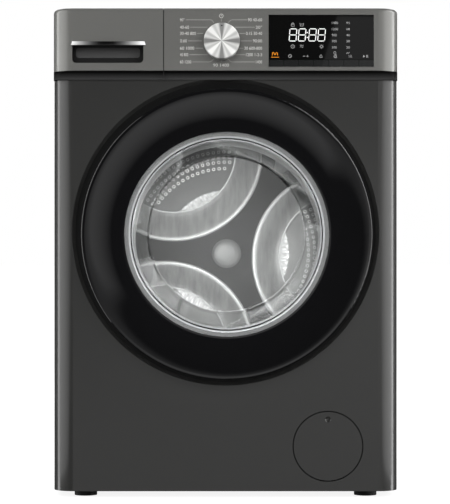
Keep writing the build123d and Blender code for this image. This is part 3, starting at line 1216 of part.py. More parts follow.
def counterweights():
    """Concrete weights: one across the upper front of the tub, one on its top."""
    back = TUB_FRONT_V - CLEAR
    ring = pipe_y(0, 0, TUB_OUT_R - 4, FRONT_WEIGHT_R, back - FRONT_WEIGHT_THICK, back)
    limit = FRONT_WEIGHT_R * cos(radians(FRONT_WEIGHT_SPREAD))
    ring -= block(-FAR, FAR, -FAR, FAR, -FAR, limit)
    u0, u1 = TOP_WEIGHT_U
    v0, v1 = TOP_WEIGHT_V
    mass = block(u0, u1, v0, v1, TUB_R / 2, TOP_WEIGHT_W)
    mass -= rod_y(0, 0, TUB_OUT_R + CLEAR, v0 - 1, v1 + 1)
    return [tilted(ring), tilted(mass)]


def bearing(size, v):
    """A ball bearing: outer ring, inner ring and balls."""
    outer, inner, width = size
    pitch = (outer + inner) / 2
    ball = (outer - inner) / 2 - RACE - RUN
    rings = [pipe_y(0, 0, outer - RUN, outer - RACE, v, v + width),
             pipe_y(0, 0, inner + RACE, inner + RUN / 2, v, v + width)]
    for i in range(BALLS):
        angle = radians(360 * i / BALLS)
        rings.append(Pos(pitch * cos(angle), v + width / 2, pitch * sin(angle)) * Sphere(ball))
    return rings


def drum_bearings():
    """Front and rear ball bearings of the drum shaft."""
    pieces = bearing(FRONT_BEARING, FRONT_BEARING_V) + bearing(REAR_BEARING, REAR_BEARING_V)
    return [tilted(piece) for piece in pieces]


def motor_housing():
    """Motor body with a saddle on the tub's ears, open for its shaft."""
    body = rod_y(MOTOR_REACH, 0, MOTOR_R, MOTOR_FRONT_V, MOTOR_REAR_V)
    ends = body.edges().filter_by(GeomType.CIRCLE)
    body = fillet(ends, 6.0)
    body += block(MOTOR_REACH - MOTOR_R + SADDLE_BITE, MOTOR_REACH, SADDLE_V[0] - RIB_THICK,
                  SADDLE_V[1] + MOTOR_EAR_THICK + RIB_THICK, -SADDLE_HALF, SADDLE_HALF)
    body -= rod_y(MOTOR_REACH, 0, MOTOR_SHAFT_R + RUN, MOTOR_FRONT_V + 20, MOTOR_REAR_V + 1)
    return tilted(Rot(0, -MOTOR_ANGLE, 0) * body)


def motor_pulley():
    """Motor shaft with its belt pulley."""
    v0 = PULLEY_V
    shaft = rod_y(MOTOR_U, MOTOR_W, MOTOR_SHAFT_R, MOTOR_FRONT_V + 21, v0 + PULLEY_WIDTH + 2)
    shaft += rod_y(MOTOR_U, MOTOR_W, MOTOR_PULLEY_R, v0, v0 + PULLEY_WIDTH)
    return tilted(shaft)


def belt_outline(extra):
    """Outline round both pulleys, larger than them by extra."""
    r1, r2 = PULLEY_R + extra, MOTOR_PULLEY_R + extra
    lean = asin((r1 - r2) / MOTOR_REACH)
    along = radians(MOTOR_ANGLE)
    points = []
    for s in (1, -1):
        angle = along + s * (radians(90) - lean)
        points.append((r1 * cos(angle), r1 * sin(angle)))
    for s in (-1, 1):
        angle = along + s * (radians(90) - lean)
        points.append((MOTOR_U + r2 * cos(angle), MOTOR_W + r2 * sin(angle)))
    span = make_face(Polyline(*points, close=True))
    return Circle(r1) + Pos(MOTOR_U, MOTOR_W) * Circle(r2) + span


def drive_belt():
    """Flat ribbed belt round both pulleys."""
    v0 = PULLEY_V + (PULLEY_WIDTH - BELT_WIDTH) / 2
    plane = Plane(origin=(0, v0, 0), x_dir=(1, 0, 0), z_dir=(0, -1, 0))
    face = belt_outline(CLEAR + BELT_THICK) - belt_outline(CLEAR)
    return tilted(extrude(plane * face, -BELT_WIDTH))


def suspension_springs():
    """Tension springs between the hangers and the tub's lugs, as plain sleeves."""
    sleeve = pipe_z(SPRING_X, at(SPRING_DEPTH), SPRING_R, SPRING_CORE_R, SPRING_FOOT_Z,
                    HANGER_Z - CLEAR)
    return [sleeve, mirror(sleeve, Plane.YZ)]


def damper_cylinders():
    """Lower halves of the friction dampers, with eyes and stub pins in the base."""
    x, y = DAMPER_X, at(DAMPER_DEPTH)
    floor = DAMPER_FOOT_Z + EYE_R
    body = rod_z(x, y, DAMPER_R, floor + CLEAR, DAMPER_CYLINDER_TOP)
    body -= rod_z(x, y, DAMPER_BORE_R, floor + DAMPER_FLOOR, DAMPER_CYLINDER_TOP + 1)
    body += block(x - EYE_R, x + EYE_R, y - EYE_THICK / 2, y + EYE_THICK / 2, DAMPER_FOOT_Z,
                  floor + DAMPER_SPARE)
    body += rod_y(x, DAMPER_FOOT_Z, EYE_R, y - EYE_THICK / 2, y + EYE_THICK / 2)
    reach = EYE_THICK / 2 + EYE_PIN_LENGTH
    body += rod_y(x, DAMPER_FOOT_Z, EYE_PIN_R, y - reach, y + reach)
    return [body, mirror(body, Plane.YZ)]


def damper_rods():
    """Upper halves of the dampers: piston, rod, eye and stub pins in the tub's ears."""
    x, y = DAMPER_X, at(DAMPER_DEPTH)
    floor = DAMPER_FOOT_Z + EYE_R + DAMPER_FLOOR + BOUNCE + DAMPER_SPARE
    rod = rod_z(x, y, DAMPER_BORE_R - CLEAR, floor, floor + PISTON_LENGTH)
    rod += rod_z(x, y, DAMPER_ROD_R, floor, DAMPER_HEAD_Z)
    rod += rod_y(x, DAMPER_HEAD_Z, EYE_R - 1, y - EYE_THICK / 2, y + EYE_THICK / 2)
    reach = EYE_THICK / 2 + EYE_PIN_LENGTH
    rod += rod_y(x, DAMPER_HEAD_Z, EYE_PIN_R, y - reach, y + reach)
    return [rod, mirror(rod, Plane.YZ)]


# Drum

def drum_wrapper():
    """Cylindrical wall of the drum."""
    return tilted(pipe_y(0, 0, DRUM_R, DRUM_R - DRUM_SHEET, DRUM_FRONT_V, DRUM_BACK_V + PLATE_RIM))


def drum_front_ring():
    """Pressed front of the drum with its rolled mouth."""
    rim = DRUM_R - DRUM_SHEET - CLEAR
    t = PLATE_THICK
    v0, v1 = DRUM_FACE_V, DRUM_FRONT_V
    return tilted(turned([
        (rim, v1 + PLATE_RIM), (rim, v1), (rim - 8, v0 + 2), (DRUM_MOUTH_R + 16, v0),
        (DRUM_MOUTH_R + 4, v0 + 1.5), (DRUM_MOUTH_R, v0 + 7), (DRUM_MOUTH_R, v0 + 16),
        (DRUM_MOUTH_R + t, v0 + 16), (DRUM_MOUTH_R + t, v0 + 7 + t / 2),
        (DRUM_MOUTH_R + 4.6, v0 + 1.5 + t), (DRUM_MOUTH_R + 16, v0 + t), (rim - 8.5, v0 + 2 + t),
        (rim - t, v1 + t / 2), (rim - t, v1 + PLATE_RIM)]))


def plate_form(rim):
    """Front form of the drum's back: a disc with three lobes, each with a lens-shaped facet."""
    lobes = None
    for angle in LOBE_ANGLES:
        u = LOBE_CENTRE_R * cos(radians(angle))
        w = LOBE_CENTRE_R * sin(radians(angle))
        cone = Pos(u, DRUM_BACK_V - LOBE_HEIGHT / 2, w) * Rot(90, 0, 0) * Cone(
            LOBE_FOOT_R, LOBE_TOP_R, LOBE_HEIGHT)
        lobes = cone if lobes is None else lobes + cone
    lobes &= rod_y(0, 0, rim, 0, DRUM_BACK_V + 1)
    top = DRUM_BACK_V - LOBE_HEIGHT
    lobes -= Pos(0, top + LENS_HEIGHT / 2 - 1, 0) * Rot(90, 0, 0) * Cone(
        LENS_FOOT_R, LENS_TOP_R + 1, LENS_HEIGHT + 2)
    disc = rod_y(0, 0, rim, DRUM_BACK_V, DRUM_BACK_V + PLATE_RIM)
    cap = rod_y(0, 0, HUB_CAP_R, DRUM_BACK_V - HUB_CAP_HEIGHT, DRUM_BACK_V + 1)
    return disc + lobes + cap


def drum_back_plate():
    """Pressed back of the drum with its three lobes, hub cap and rows of holes."""
    rim = DRUM_R - DRUM_SHEET - CLEAR
    form = plate_form(rim)
    plate = form - Pos(0, PLATE_THICK, 0) * form
    plate += pipe_y(0, 0, rim, rim - PLATE_THICK, DRUM_BACK_V, DRUM_BACK_V + PLATE_RIM)
    plate += pipe_y(0, 0, HUB_CAP_R, HUB_CAP_R - PLATE_THICK, DRUM_BACK_V - HUB_CAP_HEIGHT,
                    DRUM_BACK_V + PLATE_THICK)
    holes = []
    count = int(HOLE_SPREAD / HOLE_STEP)
    top = DRUM_BACK_V - LOBE_HEIGHT
    for centre in LOBE_ANGLES:
        for row in HOLE_ROWS:
            for i in range(-count, count + 1):
                angle = radians(centre + i * HOLE_STEP)
                holes.append(rod_y(row * cos(angle), row * sin(angle), HOLE_R, top - 1,
                                   top + 2 * PLATE_THICK))
    return tilted(plate - holes)


def drum_lifters():
    """Three paddles along the drum wall."""
    rim = DRUM_R - DRUM_SHEET - CLEAR
    v0, v1 = DRUM_FRONT_V + LIFTER_INSET, DRUM_BACK_V - LIFTER_INSET
    plane = Plane(origin=(0, v0, 0), x_dir=(1, 0, 0), z_dir=(0, -1, 0))
    top = rim - LIFTER_HEIGHT
    face = make_face(Polyline((rim, -LIFTER_BASE / 2), (rim, LIFTER_BASE / 2),
                              (top, LIFTER_TOP / 2), (top, -LIFTER_TOP / 2), close=True))
    bar = extrude(plane * face, v0 - v1)
    crest = bar.edges().filter_by(Axis.Y).group_by(Axis.X)[0]
    bar = fillet(crest, LIFTER_TOP / 2.5)
    bar &= rod_y(0, 0, rim, v0 - 1, v1 + 1)
    return [tilted(Rot(0, -angle, 0) * bar) for angle in ARM_ANGLES]


def drum_spider():
    """Cast three-armed spider behind the drum, and its shaft."""
    v0 = DRUM_BACK_V + PLATE_THICK + CLEAR
    v1 = v0 + SPIDER_THICK
    rim = DRUM_R - DRUM_SHEET - PLATE_THICK - 2 * CLEAR
    hub = rod_y(0, 0, SPIDER_HUB_R, v0, v1)
    hub += rod_y(0, 0, FRONT_BEARING[1] + RACE, v0, FRONT_BEARING_V - CLEAR)
    plane = Plane(origin=(0, v0, 0), x_dir=(1, 0, 0), z_dir=(0, -1, 0))
    face = make_face(Polyline((0, -SPIDER_ARM_ROOT), (0, SPIDER_ARM_ROOT), (rim, SPIDER_ARM_TIP),
                              (rim, -SPIDER_ARM_TIP), close=True))
    arm = extrude(plane * face, -SPIDER_THICK) & rod_y(0, 0, rim, v0, v1)
    for angle in ARM_ANGLES:
        hub += Rot(0, -angle, 0) * arm
    hub -= rod_y(0, 0, FRONT_BEARING[1] + RUN / 2, v0 - 1, FRONT_BEARING_V)
    middle = FRONT_BEARING_V + FRONT_BEARING[2]
    end = PULLEY_V + PULLEY_WIDTH
    shaft = rod_y(0, 0, FRONT_BEARING[1], v0, middle)
    shaft += rod_y(0, 0, REAR_BEARING[1] + 1.5, middle - 1, REAR_BEARING_V)
    shaft += rod_y(0, 0, REAR_BEARING[1], REAR_BEARING_V - 1, end + CLEAR)
    shaft += rod_y(0, 0, REAR_BEARING[1] + 4, end + CLEAR, end + 6)
    return [tilted(hub), tilted(shaft)]


def drum_pulley():
    """Large belt pulley with a holed web."""
    v0, v1 = PULLEY_V, PULLEY_V + PULLEY_WIDTH
    middle = (v0 + v1) / 2
    pulley = pipe_y(0, 0, PULLEY_R, PULLEY_R - PULLEY_RIM, v0, v1)
    pulley += rod_y(0, 0, PULLEY_R - PULLEY_RIM / 2, middle - PULLEY_WEB / 2,
                    middle + PULLEY_WEB / 2)
    pulley += rod_y(0, 0, PULLEY_HUB_R, v0, v1)
    ring = (PULLEY_HUB_R + PULLEY_R - PULLEY_RIM) / 2
    for i in range(PULLEY_HOLES):
        angle = radians(360 * i / PULLEY_HOLES)
        pulley -= rod_y(ring * cos(angle), ring * sin(angle), PULLEY_HOLE_R, v0, v1)
    return tilted(pulley - rod_y(0, 0, REAR_BEARING[1] + 2 * RUN, v0 - 1, v1 + 1))


def all_pieces():
    """Every piece by the name of its node."""
    makers = [
        side_panels, rear_panel, rear_service_cover, base_tray, flap_bezel, top_cover,
        front_panel, control_fascia, display_window, control_board, program_knob, drawer_front, drawer_grip, drawer_tray,
        dispenser_housing, inlet_valve, inner_hoses, dispenser_bellows, sump_hose, drain_pump,
        filter_plug, mains_gland, transit_bolt_caps, cabinet_fasteners, service_flap,
        door_ring, door_glass, door_inner_frame, door_hook, door_lock, door_hinge, door_gasket,
        tub_front, tub_rear, heater, counterweights, drum_bearings,
        motor_housing, motor_pulley, drive_belt, suspension_springs, damper_cylinders,
        damper_rods, drum_wrapper, drum_front_ring, drum_back_plate, drum_lifters, drum_spider,
        drum_pulley]
    pieces = {maker.__name__: maker() for maker in makers}
    for i in range(KEY_COUNT):
        pieces[f"button_{i + 1}"] = key(i)
    names = ("front_left", "front_right", "rear_left", "rear_right")
    for name, (x, y) in zip(names, foot_places()):
        pieces[f"foot_{name}"] = foot(x, y)
    return pieces


os.makedirs("parts", exist_ok=True)
for node, shape in all_pieces().items():
    solids = shape if isinstance(shape, list) else [shape]
    export_step(Compound(children=[s for item in solids for s in item.solids()]),
                f"parts/{node}.step")
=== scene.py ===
import math

import bmesh
import bpy
from mathutils import Matrix, Vector


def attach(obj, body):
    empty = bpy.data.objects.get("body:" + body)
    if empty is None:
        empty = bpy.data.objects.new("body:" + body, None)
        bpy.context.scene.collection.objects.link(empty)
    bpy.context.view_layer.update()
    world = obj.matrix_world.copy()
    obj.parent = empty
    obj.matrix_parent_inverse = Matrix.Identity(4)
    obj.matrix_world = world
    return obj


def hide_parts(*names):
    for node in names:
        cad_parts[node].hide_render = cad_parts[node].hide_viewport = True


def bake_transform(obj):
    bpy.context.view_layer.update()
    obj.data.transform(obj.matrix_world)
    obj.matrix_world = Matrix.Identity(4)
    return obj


bl_info = {
    "name": "Front Load Washing Machine",
    "version": (1, 0, 0),
    "blender": (4, 5, 0),
    "location": "View3D > Sidebar > Washer",
    "description": "Dresses a front loading washing machine with finishes, printing and fine parts",
    "category": "Object",
}

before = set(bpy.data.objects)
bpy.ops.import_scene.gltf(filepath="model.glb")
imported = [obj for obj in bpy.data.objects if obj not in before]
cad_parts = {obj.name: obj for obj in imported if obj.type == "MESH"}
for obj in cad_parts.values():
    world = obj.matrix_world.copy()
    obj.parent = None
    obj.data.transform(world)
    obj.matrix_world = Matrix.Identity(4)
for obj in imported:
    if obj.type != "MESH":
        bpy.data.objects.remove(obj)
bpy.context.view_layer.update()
MM = 0.001

# Places of the machine in metres, from its solids
FASCIA_Y = -0.273
PANEL_Y = -0.259
POCKET_Y = -0.247
COVE_TOP = 0.737
NUT_TOP = 0.0177
REAR_Y = 0.271
DOOR_X, DOOR_Z = 0.002, 0.455
KNOB_X, KNOB_Z = -0.0065, 0.7862
POINTER_Y, POINTER_RISE, POINTER_R = -0.29445, 0.026, 0.00122
DISPLAY_Y = -0.2735
RECESS_Z = 0.459
FOOT_X, FOOT_DEPTHS = 0.2445, (-0.211, 0.223)
SPRING_X, SPRING_Y, SPRING_R = 0.262, 0.066, 0.0170
SPRING_FOOT_Z, SPRING_TOP_Z = 0.615, 0.7897
# The bright bar's painted reflection is black at one place along it and white at this reach from there
BAR_PAINTED_DARK_X, BAR_PAINTED_REACH = -0.2045, 0.0595
TILT = math.radians(5.8)
DRUM_PLACE = (Matrix.Translation((DOOR_X, PANEL_Y + 0.060, DOOR_Z))
              @ Matrix.Rotation(-TILT, 4, "X") @ Matrix.Translation((0, -0.060, 0)))
# The pressed back of the drum, in the drum's own frame
PLATE_V, PLATE_R = 0.392, 0.2425
WALL_R = 0.2439
LOBE_ANGLES = [math.radians(117.5 + 120 * i) for i in range(3)]
LOBE_CENTRE, LOBE_FOOT, LOBE_TOP, LOBE_RISE = 0.220, 0.169, 0.119, 0.028
LENS_R = 0.119
HUB_R = 0.028
# The photographed fascia: millimetres to a pixel, and the pixel that lies on the camera's axis
PIXEL = 1.7223 * MM
EYE = Vector((-0.00095, -3.859, 0.4245))
PIXEL_CENTRE = (225.0, 252.0)
VIEW_ANGLE = math.radians(12.33)
# Rows of figures beside the knob, in pixels from the top
LEGEND_ROWS = (19.9, 27.3, 33.5, 41.0, 48.3, 54.8, 62.0)
PRINT = 0.00006


def linear(hex_colour):
    """An sRGB hex colour as the linear colour that a shader takes."""
    parts = [int(hex_colour[i:i + 2], 16) / 255 for i in (1, 3, 5)]
    return tuple(c / 12.92 if c <= 0.04045 else ((c + 0.055) / 1.055) ** 2.4 for c in parts)


def node(tree, kind, sockets=None, **settings):
    """Adds a node. Settings are its own; sockets are inputs, linked where the value is an output."""
    made = tree.nodes.new(kind)
    for name, value in settings.items():
        setattr(made, name, value)
    for key, value in (sockets or {}).items():
        if isinstance(value, bpy.types.NodeSocket):
            tree.links.new(value, made.inputs[key])
        else:
            made.inputs[key].default_value = value
    return made


def finish_of(name, **sockets):
    """A new material: its tree and its main shader with plain values set on the sockets."""
    material = bpy.data.materials.new(name)
    material.use_nodes = True
    tree = material.node_tree
    shader = tree.nodes["Principled BSDF"]
    for key, value in sockets.items():
        key = key.replace("_", " ")
        if key == "Base Color":
            value = (*value, 1.0)
        shader.inputs[key].default_value = value
    return material, tree, shader


def grain(tree, size_mm, detail=3.0, stretch=(1, 1, 1), centre=(0, 0, 0)):
    """A soft random pattern with features about size_mm across, from 0 to 1."""
    place = node(tree, "ShaderNodeTexCoord").outputs["Object"]
    scale = [s / (size_mm * MM) for s in stretch]
    mapped = node(tree, "ShaderNodeMapping", {"Vector": place, "Scale": scale,
                                              "Location": [-c * s for c, s in zip(centre, scale)]})
    return node(tree, "ShaderNodeTexNoise", {"Vector": mapped.outputs["Vector"], "Scale": 1.0,
                                             "Detail": detail, "Roughness": 0.55}).outputs["Fac"]


def spread(tree, shader, socket, pattern, low, high):
    """Drives a number of the shader between low and high by a pattern."""
    ranged = node(tree, "ShaderNodeMapRange", {"Value": pattern, "From Min": 0.25, "From Max": 0.75,
                                               "To Min": low, "To Max": high})
    tree.links.new(ranged.outputs["Result"], shader.inputs[socket])


def tint(tree, shader, pattern, dark, light):
    """Drives the shader's colour between two colours by a pattern."""
    mixed = node(tree, "ShaderNodeMix", {"Factor": pattern, "A": (*dark, 1), "B": (*light, 1)},
                 data_type="RGBA")
    tree.links.new(mixed.outputs["Result"], shader.inputs["Base Color"])


def relief(tree, shader, pattern, depth_mm, strength=1.0):
    """Raises the surface by a pattern, depth_mm from its lows to its highs."""
    bump = node(tree, "ShaderNodeBump", {"Height": pattern, "Distance": depth_mm * MM,
                                         "Strength": strength})
    tree.links.new(bump.outputs["Normal"], shader.inputs["Normal"])


def shown_white(tree):
    """1 for what the eye sees straight, in a mirror or through glass, and 0 for soft light."""
    path = node(tree, "ShaderNodeLightPath").outputs
    seen = node(tree, "ShaderNodeMath", {0: path["Is Camera Ray"], 1: path["Is Glossy Ray"]},
                operation="MAXIMUM")
    return node(tree, "ShaderNodeMath", {0: seen.outputs["Value"],
                                         1: path["Is Transmission Ray"]},
                operation="MAXIMUM").outputs["Value"]


def shaded(colour, factor):
    """A colour made darker or lighter."""
    return tuple(c * factor for c in colour)


# Finishes


def enamel(name, colour, rough=0.46):
    """Baked enamel with aluminium flake on pressed steel: a soft sheen with faint orange peel."""
    material, tree, shader = finish_of(name, Roughness=rough, IOR=1.5, Metallic=0.5,
                                       Coat_Weight=0.8, Coat_Roughness=0.14)
    # Flake is far finer than a pixel, so it is drawn about 1.5 mm across
    tint(tree, shader, grain(tree, 1.5, 2.0), shaded(colour, 0.93), shaded(colour, 1.07))
    spread(tree, shader, "Roughness", grain(tree, 30.0), rough - 0.03, rough + 0.04)
    relief(tree, shader, grain(tree, 5.0, 1.0), 0.006)
    return material


def moulded(name, colour, rough=0.42, texture_mm=0.8, depth_mm=0.02, gloss=0.0):
    """Injection moulded plastic: an even colour with a fine eroded texture from the tool."""
    material, tree, shader = finish_of(name, Roughness=rough, IOR=1.49, Coat_Weight=gloss,
                                       Coat_Roughness=0.06)
    tint(tree, shader, grain(tree, 12.0), shaded(colour, 0.95), shaded(colour, 1.05))
    spread(tree, shader, "Roughness", grain(tree, 6.0), max(rough - 0.05, 0.02), rough + 0.05)
    relief(tree, shader, grain(tree, texture_mm, 2.0), depth_mm)
    return material


def gloss_black(name, colour, rough=0.045):
    """Polished black plastic under clear lacquer: near black, with sharp reflections."""
    material, tree, shader = finish_of(name, Roughness=rough, IOR=1.5, Coat_Weight=0.4,
                                       Coat_Roughness=0.02)
    tint(tree, shader, grain(tree, 25.0), shaded(colour, 0.85), shaded(colour, 1.15))
    # Lacquer flows out in waves some 30 mm long
    relief(tree, shader, grain(tree, 30.0, 0.0), 0.004)
    return material


def metal(name, colour, rough=0.25, brush=(1, 1, 1), brush_mm=4.0, anisotropy=0.0, bare=1.0,
          contrast=0.11):
    """Bare metal: its colour is in its reflection, drawn out along the brushing."""
    material, tree, shader = finish_of(name, Metallic=bare, Anisotropic=anisotropy)
    lines = grain(tree, brush_mm, 4.0, brush)
    tint(tree, shader, lines, shaded(colour, 1 - contrast), shaded(colour, 1 + contrast))
    spread(tree, shader, "Roughness", lines, rough * 0.8, rough * 1.3)
    relief(tree, shader, lines, 0.008)
    return material


def chrome_painted_reflection(name, colour, dark, reach):
    """Chrome on plastic with a painted reflection: white at its ends and black in the middle, drawn as
    the dark of a studio mirrored in it.
    """
    material, tree, shader = finish_of(name, Metallic=0.1, Roughness=0.08, IOR=1.5)
    place = node(tree, "ShaderNodeTexCoord").outputs["Object"]
    value = node(tree, "ShaderNodeSeparateXYZ", {"Vector": place}).outputs["X"]
    for operation, number in (("SUBTRACT", dark), ("ABSOLUTE", 0.0), ("DIVIDE", reach),
                              ("POWER", 3.1)):
        value = node(tree, "ShaderNodeMath", {0: value, 1: number},
                     operation=operation).outputs["Value"]
    # Painted reflection: the colour runs from black at the dark place to white at the reach
    tint(tree, shader, value, shaded(colour, 0.004), colour)
    spread(tree, shader, "Roughness", grain(tree, 20.0), 0.06, 0.1)
    relief(tree, shader, grain(tree, 60.0, 0.0), 0.002)
    return material


def spun_aluminium_painted_rays(name, colour):
    """Aluminium turned on a lathe: fine rings fan the light out along them, and bright and dark rays
    are also painted into its colour as a painted sheen.
    """
    material, tree, shader = finish_of(name, Metallic=0.25, Anisotropic=0.75, Roughness=0.35)
    place = node(tree, "ShaderNodeTexCoord").outputs["Object"]
    centred = node(tree, "ShaderNodeMapping", {"Vector": place,
                                               "Location": (-KNOB_X, 0, -KNOB_Z)}).outputs["Vector"]
    flat = node(tree, "ShaderNodeVectorMath", {0: centred, 1: (1, 0, 1)}, operation="MULTIPLY")
    axes = node(tree, "ShaderNodeSeparateXYZ", {"Vector": flat.outputs["Vector"]})
    angle = node(tree, "ShaderNodeMath", {0: axes.outputs["Z"], 1: axes.outputs["X"]},
                 operation="ARCTAN2").outputs["Value"]
    # Painted sheen: bright rays on the diagonals and dark ones level and upright, with a finer ripple,
    # drawn into the colour by angle round the knob
    double = node(tree, "ShaderNodeMath", {0: angle, 1: 2.0}, operation="MULTIPLY")
    swing = node(tree, "ShaderNodeMath", {0: double.outputs["Value"]}, operation="SINE")
    size = node(tree, "ShaderNodeMath", {0: swing.outputs["Value"]}, operation="ABSOLUTE")
    broad = node(tree, "ShaderNodeMath", {0: size.outputs["Value"], 1: 1.6}, operation="POWER")
    fine = node(tree, "ShaderNodeMath", {0: angle, 1: 12.0}, operation="MULTIPLY")
    ripple = node(tree, "ShaderNodeMath", {0: fine.outputs["Value"]}, operation="COSINE")
    painted_rays = node(tree, "ShaderNodeMath", {0: ripple.outputs["Value"], 1: -0.30,
                                         2: broad.outputs["Value"]},
                operation="MULTIPLY_ADD", use_clamp=True).outputs["Value"]
    tint(tree, shader, painted_rays, shaded(colour, 0.34), shaded(colour, 1.38))
    radius = node(tree, "ShaderNodeVectorMath", {0: flat.outputs["Vector"]}, operation="LENGTH")
    # Turning marks are 0.1 mm apart; drawn 0.7 mm apart so that they show
    rings = node(tree, "ShaderNodeMath", {0: radius.outputs["Value"], 1: 2 * math.pi / (0.7 * MM)},
                 operation="MULTIPLY")
    groove = node(tree, "ShaderNodeMath", {0: rings.outputs["Value"]}, operation="SINE")
    relief(tree, shader, groove.outputs["Value"], 0.004, 0.5)
    around = node(tree, "ShaderNodeVectorMath", {0: flat.outputs["Vector"], 1: (0, 1, 0)},
                  operation="CROSS_PRODUCT")
    tree.links.new(around.outputs["Vector"], shader.inputs["Tangent"])
    return material


def rubber(name, colour, rough=0.62):
    """Cured rubber: dull and dark, with dusty lighter patches."""
    material, tree, shader = finish_of(name, Roughness=rough, IOR=1.52)
    tint(tree, shader, grain(tree, 9.0), shaded(colour, 0.85), shaded(colour, 1.25))
    spread(tree, shader, "Roughness", grain(tree, 4.0), rough - 0.08, rough + 0.1)
    relief(tree, shader, grain(tree, 1.2, 2.0), 0.03)
    return material


def soda_glass(name, colour):
    """Pressed soda-lime glass: clear, with slow waves from the mould. It lets lamp light through."""
    material, tree, shader = finish_of(name, Base_Color=colour, Roughness=0.0, IOR=1.5,
                                       Transmission_Weight=1.0)
    relief(tree, shader, grain(tree, 60.0, 0.0), 0.002)
    output = tree.nodes["Material Output"]
    path = node(tree, "ShaderNodeLightPath")
    clear = node(tree, "ShaderNodeBsdfTransparent", {"Color": (*colour, 1)})
    mix = node(tree, "ShaderNodeMixShader", {0: path.outputs["Is Shadow Ray"],
                                             1: shader.outputs["BSDF"], 2: clear.outputs["BSDF"]})
    tree.links.new(mix.outputs["Shader"], output.inputs["Surface"])
    return material


def cast_concrete(name, colour):
    """Vibrated concrete: grey with pale grit and small pores."""
    material, tree, shader = finish_of(name, Roughness=0.85)
    tint(tree, shader, grain(tree, 7.0, 6.0), shaded(colour, 0.6), shaded(colour, 1.3))
    relief(tree, shader, grain(tree, 3.0, 5.0), 0.4)
    return material


def laminate(name, colour):
    """Melamine laminate on board: a faint even speckle under a satin skin."""
    material, tree, shader = finish_of(name, Roughness=0.4, IOR=1.5)
    tint(tree, shader, grain(tree, 2.5, 4.0), shaded(colour, 0.82), shaded(colour, 1.18))
    relief(tree, shader, grain(tree, 1.5, 2.0), 0.015)
    return material


def ink(name, colour, glow=0.0):
    """Printed ink or a lit legend: even, with a slightly uneven edge of thickness."""
    material, tree, shader = finish_of(name, Roughness=0.5, Emission_Color=(*colour, 1),
                                       Emission_Strength=glow)
    tint(tree, shader, grain(tree, 1.0), shaded(colour, 0.94), shaded(colour, 1.04))
    return material


def circuit_board(name, colour):
    """Glass-fibre board under green solder mask, with pale traces."""
    material, tree, shader = finish_of(name, Roughness=0.35, IOR=1.55)
    tint(tree, shader, grain(tree, 3.0, 1.0, (1, 1, 6)), shaded(colour, 0.6), shaded(colour, 1.7))
    return material


# Settings


class WasherColours(bpy.types.PropertyGroup):
    body: bpy.props.FloatVectorProperty(
        name="Body Enamel", description="Enamel of the front, sides and back", subtype="COLOR",
        default=linear("#353534"))
    fascia: bpy.props.FloatVectorProperty(
        name="Fascia", description="Painted plastic of the fascia and drawer front", subtype="COLOR",
        default=linear("#737370"))
    ring: bpy.props.FloatVectorProperty(
        name="Door Ring", description="Lacquered plastic of the door's ring", subtype="COLOR",
        default=linear("#060607"))
    steel: bpy.props.FloatVectorProperty(
        name="Drum Steel", description="Stainless steel of the drum", subtype="COLOR",
        default=linear("#B9B9B8"))
    knob: bpy.props.FloatVectorProperty(
        name="Knob", description="Spun aluminium of the knob", subtype="COLOR",
        default=linear("#D2D2D0"))
    legend: bpy.props.FloatVectorProperty(
        name="Legend", description="Ink of the figures round the knob", subtype="COLOR",
        default=linear("#C4C4C0"))
    lit: bpy.props.FloatVectorProperty(
        name="Lit Figures", description="Figures of the display", subtype="COLOR",
        default=linear("#E8E8E8"))
    accent: bpy.props.FloatVectorProperty(
        name="Accent", description="Lit symbol over the first key", subtype="COLOR",
        default=linear("#D8820E"))


class WasherSizes(bpy.types.PropertyGroup):
    line: bpy.props.FloatProperty(
        name="Leader Width", description="Width of the lines between the knob and its figures",
        default=0.0008, unit="LENGTH")
    wire: bpy.props.FloatProperty(
        name="Spring Wire", description="Diameter of the suspension spring wire",
        default=0.0034, unit="LENGTH")
    turns: bpy.props.FloatProperty(
        name="Spring Turns", description="Turns of each suspension spring", default=26.0)
    hole: bpy.props.FloatProperty(
        name="Drum Hole", description="Radius of the holes in the drum wall", default=0.0025,
        unit="LENGTH")
    hole_rows: bpy.props.IntProperty(
        name="Hole Rows", description="Rows of holes along the drum", default=15)
    hole_columns: bpy.props.IntProperty(
        name="Hole Columns", description="Holes round the drum in each row", default=96)
    folds: bpy.props.IntProperty(
        name="Bellows Folds", description="Folds of the dispenser's bellows", default=5)


# Making meshes


def colours():
    return bpy.context.scene.washer_colours


def sizes():
    return bpy.context.scene.washer_sizes


def cad(name, material):
    """Gives a node of the solid model its finish."""
    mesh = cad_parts[name].data
    if not mesh.materials:
        mesh.materials.append(material)
    for i in range(len(mesh.materials)):
        mesh.materials[i] = material


def smooth(mesh, angle=35.0):
    """Rounds the shading except across edges sharper than an angle."""
    mesh.shade_smooth()
    mesh.set_sharp_from_angle(angle=math.radians(angle))


def piece(name, mesh, materials, body, replaces=(), bend=None):
    """Places a finished mesh as a piece that rides on a body; a piece given a bend is only set in place
    and rides on none.
    """
    for material in materials:
        mesh.materials.append(material)
    made = bpy.data.objects.new(name, mesh)
    bpy.context.scene.collection.objects.link(made)
    if bend:
        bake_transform(made)
    else:
        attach(made, body)
    if replaces:
        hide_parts(*replaces)
    return made


def mesh_from(name, shape, angle=35.0):
    """Turns a worked shape into a named, shaded mesh."""
    mesh = bpy.data.meshes.new(name)
    shape.to_mesh(mesh)
    shape.free()
    smooth(mesh, angle)
    return mesh


